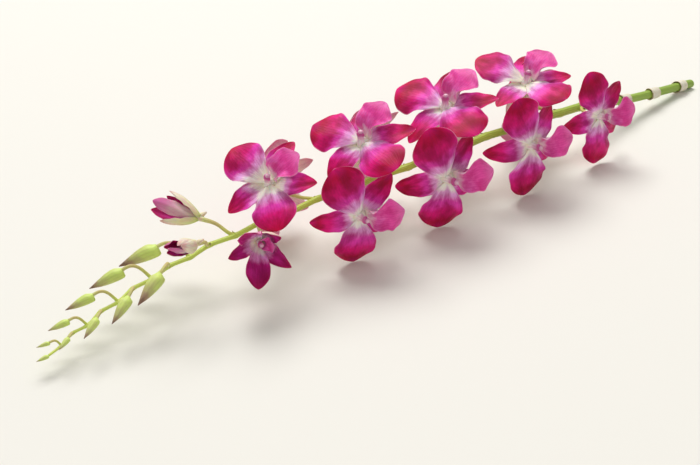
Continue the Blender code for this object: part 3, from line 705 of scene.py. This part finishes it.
WHITE_HEART, CREAM = (0.95, 0.9, 0.86), (0.92, 0.92, 0.74)
LILAC, ORCHID = (0.94, 0.44, 0.86), (0.9, 0.06, 0.52)
MAGENTA, CRIMSON = (0.82, 0.009, 0.22), (0.6, 0.003, 0.07)
# The `rim` of each finish here is a painted highlight: a pale line along the blade's edges.
petal_face = tissue_finish(
    "petal_face",
    tones=((0.0, CREAM), (0.1, WHITE_HEART), (0.22, LILAC), (0.38, ORCHID), (0.58, MAGENTA),
           (0.82, CRIMSON), (1.0, MAGENTA)),
    patches=(2.4, 1.3, (0.2, 0.002, 0.02), 0.7),
    lines=(15.0, 1.6, 5.0, (0.36, 0.003, 0.1), 0.24, 0.9),
    rim=(0.05, (0.86, 0.36, 0.56), 0.7), pull=-0.16, ripen=0.24, rough=0.46, glow=0.2,
    glow_tint=(1.0, 0.1, 0.3), shine=0.12)
petal_back = tissue_finish(
    "petal_back",
    tones=((0.0, CREAM), (0.2, (0.86, 0.78, 0.68)), (0.48, (0.82, 0.46, 0.58)),
           (1.0, (0.72, 0.14, 0.36))),
    patches=(2.2, 1.3, (0.86, 0.66, 0.68), 0.4),
    lines=(13.0, 1.6, 4.0, (0.56, 0.1, 0.3), 0.28, 0.92),
    rim=(0.06, (0.88, 0.6, 0.66), 0.6), pull=0.12, ripen=0.16, rough=0.52,
    glow_tint=(1.0, 0.2, 0.4), shine=0.12)
sepal_back = tissue_finish(
    "sepal_back",
    tones=((0.0, (0.72, 0.78, 0.42)), (0.2, (0.86, 0.86, 0.66)), (0.55, (0.86, 0.7, 0.64)),
           (1.0, (0.72, 0.28, 0.42))),
    patches=(2.4, 1.4, (0.8, 0.46, 0.54), 0.4),
    lines=(9.0, 1.2, 3.0, (0.54, 0.16, 0.3), 0.32, 0.96),
    rim=(0.08, (0.88, 0.8, 0.66), 0.5), ripen=0.12, rough=0.52, glow=0.28,
    glow_tint=(1.0, 0.3, 0.4), shine=0.12)
heart_skin = tissue_finish(
    "heart_skin",
    tones=((0.0, (0.62, 0.68, 0.32)), (0.45, (0.88, 0.88, 0.62)), (1.0, (0.95, 0.91, 0.78))),
    patches=(3.0, 1.0, (0.86, 0.6, 0.62), 0.25),
    lines=(8.0, 1.0, 3.0, (0.7, 0.48, 0.44), 0.2, 0.9),
    rough=0.45, glow_tint=(1.0, 0.6, 0.5))
column_skin = tissue_finish(
    "column_skin",
    tones=((0.0, CREAM), (0.35, WHITE_HEART), (0.58, (0.8, 0.46, 0.62)),
           (0.8, (0.56, 0.05, 0.26)), (1.0, (0.4, 0.015, 0.13))),
    patches=(4.0, 1.0, (0.7, 0.3, 0.46), 0.3),
    lines=(8.0, 1.0, 3.0, (0.6, 0.1, 0.34), 0.25, 0.9),
    rough=0.36, glow_tint=(1.0, 0.4, 0.5))
anther_cap = tissue_finish(
    "anther_cap",
    tones=((0.0, (0.55, 0.08, 0.3)), (0.6, (0.78, 0.4, 0.56)), (1.0, (0.84, 0.62, 0.68))),
    patches=(6.0, 1.0, (0.6, 0.12, 0.36), 0.25),
    lines=(4.0, 0.4, 6.0, (0.5, 0.05, 0.26), 0.4, 0.9),
    rough=0.3, glow_tint=(1.0, 0.5, 0.5))
FLOWER_FINISHES = [petal_face, petal_back, sepal_back, heart_skin, column_skin, anther_cap]

open_places = []
for number, (joint, row) in enumerate(zip(RACHIS_JOINTS, OPEN_FLOWERS), 1):
    *seat, size, cup = row
    place = flower_place(joint, *seat)
    open_places.append((joint, row[0], place, size))
    tissue = Tissue()
    add_flower(tissue, place, size, 1.0, cup, number)
    flower = tissue.piece(f"open_flower_{number:02d}", FLOWER_FINISHES)
    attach(flower, "root")
    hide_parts(f"bloom_{number:02d}")


# The lips
# The sixth blade of each open flower, hinged below the column: a narrow claw, two side lobes that
# stand up round the column, and a broad, rounded middle lobe, rosy pink with deeper mottling.

LIP_LENGTH, LIP_RISE, LIP_BEND, LIP_ROLL = 25, 58, -70, 12
LIP_SIDE_WIDTH, LIP_SIDE_ROLL, LIP_MIDDLE_WIDTH, LIP_MIDDLE_ROLL = 18.5, 84, 24.0, -16
LIP_WAIST, LIP_CLAW, LIP_WALL, LIP_NARROWEST, LIP_LEAST_ROLL = 9.0, 7.5, 0.6, 0.3, 0.02
LIP_FRILL, LIP_FRILL_WAVES, LIP_KEELS, KEEL_HEIGHT = 0.6, 4.2, (-0.17, 0, 0.17), 0.55
LIP_ROOT = Vector((0, -4.3, 1.0))
LIP_ROWS, LIP_COLUMNS, LIP_SEED = 40, 22, 700


def lip_surface(u, v, phase, rise=LIP_RISE, bend=LIP_BEND):
    """The lip's middle surface in millimetres, running along -Y and facing forward."""
    slope, forward, lift = arched(LIP_LENGTH, rise, bend, u)
    side, middle = hump(u, at=0.3, width=0.15), hump(u, at=0.68, width=0.26)
    throat, tip = hump(u, at=0.38, width=0.26), climb(u, start=0.52, full=1)
    width = (LIP_WAIST + (LIP_SIDE_WIDTH - LIP_WAIST) * side
             + (LIP_MIDDLE_WIDTH - LIP_WAIST) * middle - (LIP_WAIST - LIP_CLAW) * (1 - u) ** 8) / 2
    width = np.maximum(width * np.sqrt(1 - tip**2), LIP_NARROWEST)
    roll = np.radians(LIP_SIDE_ROLL * side + LIP_MIDDLE_ROLL * middle + LIP_ROLL)
    roll = np.where(roll > -LIP_LEAST_ROLL, np.maximum(roll, LIP_LEAST_ROLL), roll)
    across, fold = rolled(width, roll, v)
    fold += LIP_FRILL * np.abs(v) ** 3 * middle * np.sin(
        2 * np.pi * LIP_FRILL_WAVES * u + phase + 2 * v)
    for keel in LIP_KEELS:
        fold += KEEL_HEIGHT * throat * hump(v, keel, width=0.05)
    return np.stack([-across, -forward + fold * np.sin(slope), lift + fold * np.cos(slope)],
                    axis=-1)


# The `rim` of each lip finish is a painted highlight: a pale line along the lip's edges.
lip_face = tissue_finish(
    "lip_face",
    tones=((0.0, CREAM), (0.12, (0.86, 0.62, 0.72)), (0.3, (0.84, 0.16, 0.52)),
           (0.62, (0.88, 0.09, 0.43)), (1.0, (0.92, 0.22, 0.56))),
    patches=(4.0, 1.0, (0.56, 0.012, 0.17), 0.65),
    lines=(13.0, 1.8, 3.0, (0.5, 0.008, 0.18), 0.24, 0.95),
    rim=(0.1, (0.84, 0.36, 0.58), 0.5), pull=0.12, glow=0.2,
    glow_tint=(1.0, 0.12, 0.3), shine=0.12)
lip_back = tissue_finish(
    "lip_back",
    tones=((0.0, CREAM), (0.2, (0.76, 0.52, 0.6)), (0.6, (0.64, 0.12, 0.38)),
           (1.0, (0.58, 0.04, 0.28))),
    patches=(3.0, 1.0, (0.74, 0.34, 0.52), 0.4),
    lines=(15.0, 1.4, 3.0, (0.4, 0.01, 0.18), 0.5, 0.95),
    rim=(0.08, (0.8, 0.36, 0.56), 0.5), pull=0.1, rough=0.46,
    glow_tint=(1.0, 0.15, 0.35), shine=0.12)
for number, (_, _, place, size) in enumerate(open_places, 1):
    dice = random.Random(LIP_SEED + number)
    phase = dice.uniform(0, 6)
    tissue = Tissue()
    add_sheet(tissue, lambda u, v: lip_surface(u, v, phase), LIP_ROWS, LIP_COLUMNS, LIP_WALL,
              place @ Matrix.Scale(size, 4) @ Matrix.Translation(LIP_ROOT * MM), (0, 1),
              (dice.random(), dice.random()))
    lip = tissue.piece(f"flower_lip_{number:02d}", [lip_face, lip_back])
    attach(lip, "root")
    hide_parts(f"lip_{number:02d}")


# The opening flowers
# Flowers between bud and bloom, near the tip side of the open ones. Their sepals are still pale
# green and cream outside, with a rosy streak, and fold round deep magenta petals and a young lip.

# The first seven values as for the open flowers, and how far each is open
OPENING_FLOWERS = (
    (78, 0, 34, 0, 24, 14, 0.92, 0.42), (-60, 0, 46, 0, 21, 15, 0.86, 0.2),
    (40, 0, 56, 0, 19, 15, 0.8, 0.1),
)
OPENING_SEED = 40
YOUNG_LIP_RISE, YOUNG_LIP_BEND, YOUNG_LIP_WALL = 84, -10, 1.1
YOUNG_LIP_ROOT = Vector((0, -3.0, 0.4))
# Shares of the open lip's breadth and length: what it has in the bud, and what opening adds
YOUNG_LIP_BREADTH, YOUNG_LIP_LENGTH = (0.2, 0.7), (0.48, 0.28)

# The `rim` of each finish here is a painted highlight: a pale line along the blade's edges.
young_outside = tissue_finish(
    "young_outside",
    tones=((0.0, (0.62, 0.72, 0.24)), (0.35, (0.8, 0.84, 0.46)), (0.75, (0.86, 0.8, 0.6)),
           (1.0, (0.7, 0.42, 0.38))),
    patches=(2.0, 2.2, (0.66, 0.26, 0.38), 0.5),
    lines=(9.0, 0.8, 3.0, (0.52, 0.3, 0.26), 0.35, 0.96),
    rim=(0.1, (0.84, 0.8, 0.62), 0.5), ripen=0.1, rough=0.5,
    glow_tint=(1.0, 0.7, 0.4), shine=0.12)
young_inside = tissue_finish(
    "young_inside",
    tones=((0.0, CREAM), (0.14, WHITE_HEART), (0.27, LILAC), (0.48, (0.62, 0.025, 0.3)),
           (1.0, (0.46, 0.006, 0.11))),
    patches=(2.6, 1.3, (0.2, 0.002, 0.04), 0.55),
    lines=(15.0, 1.2, 4.0, (0.24, 0.002, 0.08), 0.4, 0.9),
    rim=(0.07, (0.78, 0.4, 0.54), 0.6), pull=0.1, rough=0.46,
    glow_tint=(1.0, 0.12, 0.3), shine=0.12)
young_petal_back = tissue_finish(
    "young_petal_back",
    tones=((0.0, (0.7, 0.7, 0.42)), (0.3, (0.76, 0.6, 0.54)), (1.0, (0.62, 0.12, 0.34))),
    patches=(2.2, 1.3, (0.62, 0.16, 0.38), 0.45),
    lines=(13.0, 1.0, 4.0, (0.5, 0.08, 0.26), 0.4, 0.92),
    rim=(0.07, (0.84, 0.6, 0.6), 0.5), pull=0.1, rough=0.5,
    glow_tint=(1.0, 0.2, 0.4), shine=0.12)
opening_places = []
for number, row in enumerate(OPENING_FLOWERS, 1):
    *seat, size, openness = row
    joint = RACHIS_JOINTS[len(OPEN_FLOWERS) + number - 1]
    place = flower_place(joint, *seat)
    opening_places.append((joint, row[0], place, size))
    tissue = Tissue()
    add_flower(tissue, place, size, openness, 0, OPENING_SEED + number)
    rise = YOUNG_LIP_RISE + (LIP_RISE - YOUNG_LIP_RISE) * openness
    bend = YOUNG_LIP_BEND + (LIP_BEND - YOUNG_LIP_BEND) * openness
    breadth, length = (bud + gained * openness for bud, gained in (
        YOUNG_LIP_BREADTH, YOUNG_LIP_LENGTH))
    young_lip = Matrix.Translation(YOUNG_LIP_ROOT * MM) @ Matrix.Diagonal(
        (breadth, length, length, 1))
    add_sheet(tissue, lambda u, v: lip_surface(u, v, number, rise, bend), LIP_ROWS, LIP_COLUMNS,
              YOUNG_LIP_WALL, place @ Matrix.Scale(size, 4) @ young_lip, (LIP_FACE, LIP_BACK),
              (MIDDLE_DRAW, MIDDLE_DRAW))
    flower = tissue.piece(
        f"opening_flower_{number}",
        [young_inside, young_petal_back, young_outside, *FLOWER_FINISHES[HEART:], lip_face,
         lip_back])
    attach(flower, "root")
    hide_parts(f"opening_bloom_{number}")


# The flower stalks
# A slender stalk grows out of each joint, curves over and widens into the ribbed ovary that the
# flower sits on. Green with a rosy brown flush, and firm.

STALK_RADIUS, STALK_SLIMMER, STALK_PULL, SEAT_GAP = 1.25, 0.92, 0.45, 0.3
STALK_FOOT, STALK_FOOT_FADES = 0.35, 14
OVARY_RADIUS, OVARY_LENGTH, OVARY_STEPS = 1.6, 3.0, (0.25, 0.5, 0.75, 1.0, 1.25)
GROOVE_DEPTH, GROOVES, FLOWER_STALK_LEAVES = 0.06, 6, (0.7, 0.7, 0.0)
STALK_STEPS, STALK_SIDES, STALK_SEED = 26, 18, 900


def slant(x, roll, shares):
    """A vector at x from shares of outward, tipward and upward."""
    tipward, up, _ = stem_frame(x)
    return radial(x, roll) * shares[0] + tipward * shares[1] + up * shares[2]


def stalk_path(start, leave, end, arrive):
    """Points along a stalk's curve, which leaves and arrives in the given directions."""
    pull = (end - start).length * STALK_PULL
    first, second = start + leave.normalized() * pull, end - arrive * pull
    return [start * (1 - t) ** 3 + first * 3 * t * (1 - t) ** 2 + second * 3 * t**2 * (1 - t)
            + end * t**3 for t in np.linspace(0, 1, STALK_STEPS).tolist()]


def tube_loops(path, radii):
    """Rings of points along a path, a ring of radii in metres for each point."""
    loops = []
    for i, point in enumerate(path):
        before, after = path[max(i - 1, 0)], path[min(i + 1, len(path) - 1)]
        loops.append(ring(point, after - before, radii[i]))
    return loops


stalk_green = tissue_finish(
    "stalk_green",
    tones=((0.0, (0.58, 0.7, 0.12)), (0.35, (0.6, 0.62, 0.16)), (0.7, (0.63, 0.55, 0.21)),
           (1.0, (0.7, 0.74, 0.27))),
    patches=(5.0, 1.0, (0.5, 0.28, 0.15), 0.32),
    lines=(6.0, 0.6, 2.0, (0.3, 0.22, 0.07), 0.3, 0.97),
    ripen=0.2, glow=0.15, glow_tint=(0.8, 0.8, 0.3))
grooves = GROOVE_DEPTH * np.cos(GROOVES * all_round(STALK_SIDES))
stalks = Tissue()
for number, (joint, roll, place, size) in enumerate(open_places + opening_places):
    dice = random.Random(STALK_SEED + number)
    face = place.to_3x3().col[2]
    end = place.translation + face * (OPEN_FORM["heart"][0][0] * size - SEAT_GAP) * MM
    straight = end - face * OVARY_LENGTH * MM
    path = stalk_path(stem_point(joint), slant(joint, roll, FLOWER_STALK_LEAVES), straight, face)
    path += [straight.lerp(end, share) for share in OVARY_STEPS]
    radii = []
    for share in np.linspace(0, 1, len(path)):
        radius = STALK_RADIUS * STALK_SLIMMER + STALK_FOOT * exp(-share * STALK_FOOT_FADES)
        radius += (OVARY_RADIUS - STALK_RADIUS) * climb(share, start=0.55, full=0.95) ** 1.5
        radii.append(radius * (1 + grooves * climb(share, start=0.5, full=0.8)) * MM)
    stalks.add_body(tube_loops(path, radii), draw=(dice.random(), dice.random()))
flower_stalks = stalks.piece("flower_stalks", [stalk_green])
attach(flower_stalks, "root")
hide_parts("stem")


# The buds and their stalks
# Closed flowers, smaller and greener towards the tip. Three sepals meet in fine seams round each,
# the lower two in a blunt heel, and the pointed tip darkens to purple brown. Their stalks nod.

# Roll of the stalk, its length, nod of the bud below the stem's line, bud length
BUDS = (
    (-72, 25, 24, 26), (62, 24, 26, 24), (-66, 22, 24, 22), (66, 20, 22, 20), (-60, 18, 20, 18),
    (62, 16, 18, 15.5), (-56, 13, 16, 13), (58, 10.5, 12, 10.5), (-54, 8, 10, 8),
)
TIP_BUD_LENGTH, TIP_BUD_DRAW, LARGEST_BUD = 8, (0.37, 0.2), 26
BUD_WIDTH_SHARE, BUD_YOUNG_SLIMMER, BUD_HEEL_SLOPE = 0.365, 0.06, 0.42
BUD_RINGS = ((0.0, 0.36, 0.0), (0.07, 0.8, 0.34), (0.19, 1.0, 0.16), (0.42, 0.9, 0.02),
             (0.66, 0.62, -0.05), (0.87, 0.27, -0.16), (1.0, 0.05, -0.24))
BUD_SEAMS, SEAM_DEPTH, SEAM_SKEW = np.radians((0, 112, -112)), 0.07, 0.02
BUD_STALK_LEAVES, BUD_STALK_ENDS, BUD_AIM = (0.8, 0.3, 0.45), (0.62, 0.5, 0.1), (0.34, 0.86)
BUD_STALK_STRAIGHT, BUD_STALK_FOOT, BUD_STALK_HEAD = 1.2, 0.3, 0.1
# The thickness of a bud's stalk as a share of a flower's: at no length, gained a millimetre, most
BUD_STALK_SHARES = (0.36, 0.02, 0.85)
BUD_ROWS, BUD_COLUMNS, BUD_SEED = 30, 30, 1100


def bud_end(x, roll, length, nod):
    """Where a bud's stalk ends, and the direction in which the bud points."""
    tipward, up, _ = stem_frame(x)
    out_share, tip_share = BUD_AIM
    aim = radial(x, roll) * out_share + tipward * tip_share - up * sin(radians(nod))
    return stem_point(x) + slant(x, roll, BUD_STALK_ENDS) * length * MM, aim.normalized()


def bud_loops(base, aim, length):
    """Rings of points round a bud, pinched along its seams and set back at its heel."""
    heel = (aim * aim.dot(UP) - UP).normalized()
    width = length * (BUD_WIDTH_SHARE - BUD_YOUNG_SLIMMER * (1 - length / LARGEST_BUD / MM)) / 2
    turn = all_round(BUD_COLUMNS)
    gap = np.min([np.abs(np.angle(np.exp(1j * (turn - seam)))) for seam in BUD_SEAMS], axis=0)
    seams = SEAM_DEPTH * hump(gap, at=0, width=0.16)
    loops = []
    for u in np.linspace(0, 1, BUD_ROWS).tolist():
        radius = through([(at, share) for at, share, _ in BUD_RINGS], u) * width
        shift = through([(at, side) for at, _, side in BUD_RINGS], u)
        centre = base + aim * (u * length) + heel * (shift * width)
        pinch = 1 - seams * climb(u, start=0, full=1 / 6) + SEAM_SKEW * np.sin(gap)
        loop = ring(centre, aim, pinch * radius, heel)
        set_back = np.clip((loop - np.array(centre)) @ np.array(heel), 0, None)
        weight = BUD_HEEL_SLOPE * hump(u, at=0.07, width=0.07)
        loops.append(loop - np.outer(set_back * weight, np.array(aim)))
    return loops


bud_skin = tissue_finish(
    "bud_skin",
    tones=((0.0, (0.66, 0.84, 0.19)), (0.48, (0.64, 0.78, 0.2)), (0.74, (0.52, 0.54, 0.2)),
           (0.92, (0.34, 0.22, 0.14)), (1.0, (0.17, 0.08, 0.06))),
    patches=(2.2, 2.6, (0.5, 0.28, 0.24), 0.28),
    lines=(12.0, 0.9, 2.4, (0.36, 0.38, 0.1), 0.28, 0.9),
    ripen=0.34, rough=0.44, grain=2600.0, glow=0.2, glow_tint=(0.9, 1.0, 0.3))
bud_stalks = Tissue()
for number, (joint, row) in enumerate(zip(RACHIS_JOINTS[-len(BUDS):], BUDS), 1):
    roll, length, nod, bud_length = row
    dice = random.Random(BUD_SEED + number)
    end, aim = bud_end(joint, roll, length, nod)
    path = stalk_path(stem_point(joint), slant(joint, roll, BUD_STALK_LEAVES),
                      end - aim * BUD_STALK_STRAIGHT * MM, aim)
    path += [end, end + aim * 2 * SEAT_GAP * MM]
    least, gained, most = BUD_STALK_SHARES
    radius = STALK_RADIUS * min(most, least + gained * length)
    radii = [radius * (1 + BUD_STALK_FOOT * exp(-i / 2)
                       + BUD_STALK_HEAD * (i / STALK_STEPS) ** 4) * np.ones(STALK_SIDES) * MM
             for i in range(len(path))]
    bud_stalks.add_body(tube_loops(path, radii), draw=(dice.random(), 1 - number / len(BUDS)))
    tissue = Tissue()
    tissue.add_body(bud_loops(end + aim * SEAT_GAP * MM, aim, bud_length * MM),
                    draw=(dice.random(), bud_length / LARGEST_BUD))
    bud = tissue.piece(f"closed_bud_{number:02d}", [bud_skin])
    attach(bud, "root")
    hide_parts(f"bud_{number:02d}")
nodding_stalks = bud_stalks.piece("bud_stalks", [stalk_green])
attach(nodding_stalks, "root")
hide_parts("stem")
tip_aim = stem_frame(TIP_X)[0]
tissue = Tissue()
tissue.add_body(bud_loops(stem_point(TIP_X) + tip_aim * SEAT_GAP * MM, tip_aim,
                          TIP_BUD_LENGTH * MM), draw=TIP_BUD_DRAW)
tip_bud = tissue.piece("closed_tip_bud", [bud_skin])
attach(tip_bud, "root")
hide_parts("tip_bud")


# The bracts
# A small pointed scale of thin dry tissue clasps the foot of every stalk. It is green where it
# grows out of the joint and brown at its tip.

BRACT = dict(start=0, length=4.2, width=3.4, claw=2.6, peak=0.3, full=0.9, rise=0, bend=-28,
             curl=70, sweep=0, twist=0, ruffle=0.05, waves=1.0, frill=0.03, quilt=0.02, hand=1)
BRACT_ROWS, BRACT_COLUMNS, BRACT_WALL, BRACT_SEED = 12, 8, 0.22, 1300
BRACT_LEAN, BRACT_SUNK, BRACT_SET_BACK, BRACTS_SHRINK = (0.75, 0.66), 0.3, 1.6, 0.5

bract_skin = tissue_finish(
    "bract_skin",
    tones=((0.0, (0.4, 0.48, 0.12)), (0.5, (0.5, 0.46, 0.18)), (1.0, (0.34, 0.2, 0.1))),
    patches=(3.0, 1.0, (0.4, 0.26, 0.12), 0.3),
    lines=(7.0, 0.5, 2.0, (0.3, 0.22, 0.08), 0.3, 0.95),
    rough=0.55, glow=0.2, glow_tint=(1.0, 0.8, 0.3))
bract_tissue = Tissue()
rolls = [row[0] for row in OPEN_FLOWERS + OPENING_FLOWERS + BUDS]
for number, (joint, roll) in enumerate(zip(RACHIS_JOINTS, rolls)):
    dice = random.Random(BRACT_SEED + number)
    size = 1.0 - BRACTS_SHRINK * number / len(rolls)
    blade = dict(BRACT, phase=dice.uniform(0, 6))
    tipward = stem_frame(joint)[0]
    outward = radial(joint, roll)
    ahead = (outward * BRACT_LEAN[0] + tipward * BRACT_LEAN[1]).normalized()
    inward = (tipward - ahead * tipward.dot(ahead)).normalized()
    axes = Matrix((ahead.cross(inward), ahead, inward)).transposed().to_4x4()
    foot = stem_point(joint) + (outward * (stem_radius(joint) - BRACT_SUNK)
                                - tipward * BRACT_SET_BACK * size) * MM
    add_sheet(bract_tissue, lambda u, v: blade_surface(blade, u, v), BRACT_ROWS, BRACT_COLUMNS,
              BRACT_WALL, Matrix.Translation(foot) @ axes @ Matrix.Scale(size, 4), (0, 0),
              (dice.random(), MIDDLE_DRAW))
bracts = bract_tissue.piece("stalk_bracts", [bract_skin])
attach(bracts, "root")


# The table
# A plain, pale matt table top under the whole spray. It isn't part of the spray.

TABLE_WIDTH, TABLE_COLOUR = 8.0, (0.8, 0.785, 0.73, 1.0)
TABLE_ROUGHNESS, TABLE_SHINE = 0.75, 0.2

floor_mesh = bpy.data.meshes.new("table_top")
edge = TABLE_WIDTH / 2
floor_mesh.from_pydata(
    [(-edge, -edge, 0), (edge, -edge, 0), (edge, edge, 0), (-edge, edge, 0)], [], [(0, 1, 2, 3)])
floor = put_in_scene("table_top", floor_mesh)
floor_finish = bpy.data.materials.new("pale_table")
floor_finish.use_nodes = True
floor_shader = floor_finish.node_tree.nodes["Principled BSDF"]
for socket, value in (("Base Color", TABLE_COLOUR), ("Roughness", TABLE_ROUGHNESS),
                      ("Specular IOR Level", TABLE_SHINE)):
    floor_shader.inputs[socket].default_value = value
floor_mesh.materials.append(floor_finish)
floor.location.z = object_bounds()[0].z


# The light
# Soft daylight: a broad window high up behind the spray and to its left, even daylight from the
# same side, a weaker light from the camera's side, and an even pale sky.

AIM = Vector((-0.086, -0.034, 0.03))
AROUND = Matrix.Rotation(radians(-37.6), 3, "Z")
LIGHT_COLOUR, DAY_LIGHT_WIDTH = (1.0, 0.99, 0.98), radians(28)
SKY_COLOUR, SKY_STRENGTH = (1.0, 0.99, 0.97, 1.0), 0.4
# Name, metres to the right of the spray as the camera sees it, beyond it and up, size and power.
# The one without a size shines evenly over the whole table.
LIGHTS = (
    ("window_light", (-0.1, 1.45, 2.2), 1.8, 40.0),
    ("fill_light", (-0.2, -2.2, 1.6), 2.6, 9.0),
    ("day_light", (-0.7, 1.3, 2.4), None, 1.15),
)

for name, place, size, power in LIGHTS:
    lamp = bpy.data.lights.new(name, "AREA" if size else "SUN")
    if size:
        lamp.shape = "DISK"
        lamp.size = size
    else:
        lamp.angle = DAY_LIGHT_WIDTH
    lamp.energy = power
    lamp.color = LIGHT_COLOUR
    light = put_in_scene(name, lamp)
    light.location = AROUND @ Vector(place)
    light.rotation_euler = (light.location - AIM).to_track_quat("Z", "Y").to_euler()

world = bpy.data.worlds.new("pale_sky")
world.use_nodes = True
sky = world.node_tree.nodes["Background"]
sky.inputs["Color"].default_value = SKY_COLOUR
sky.inputs["Strength"].default_value = SKY_STRENGTH
bpy.context.scene.world = world
bpy.context.scene.view_settings.view_transform = "Standard"


# The camera
# It looks down on the spray from its bud end, at the photograph's angle.

ELEVATION, CAMERA_DISTANCE, CAMERA_LENS = radians(32), 0.84, 70
BACK = AROUND @ Vector((0, -cos(ELEVATION), sin(ELEVATION)))

camera = put_in_scene("camera", bpy.data.cameras.new("camera"))
camera.data.lens = CAMERA_LENS
camera.location = AIM + BACK * CAMERA_DISTANCE
camera.rotation_euler = BACK.to_track_quat("Z", "Y").to_euler()
bpy.context.scene.camera = camera
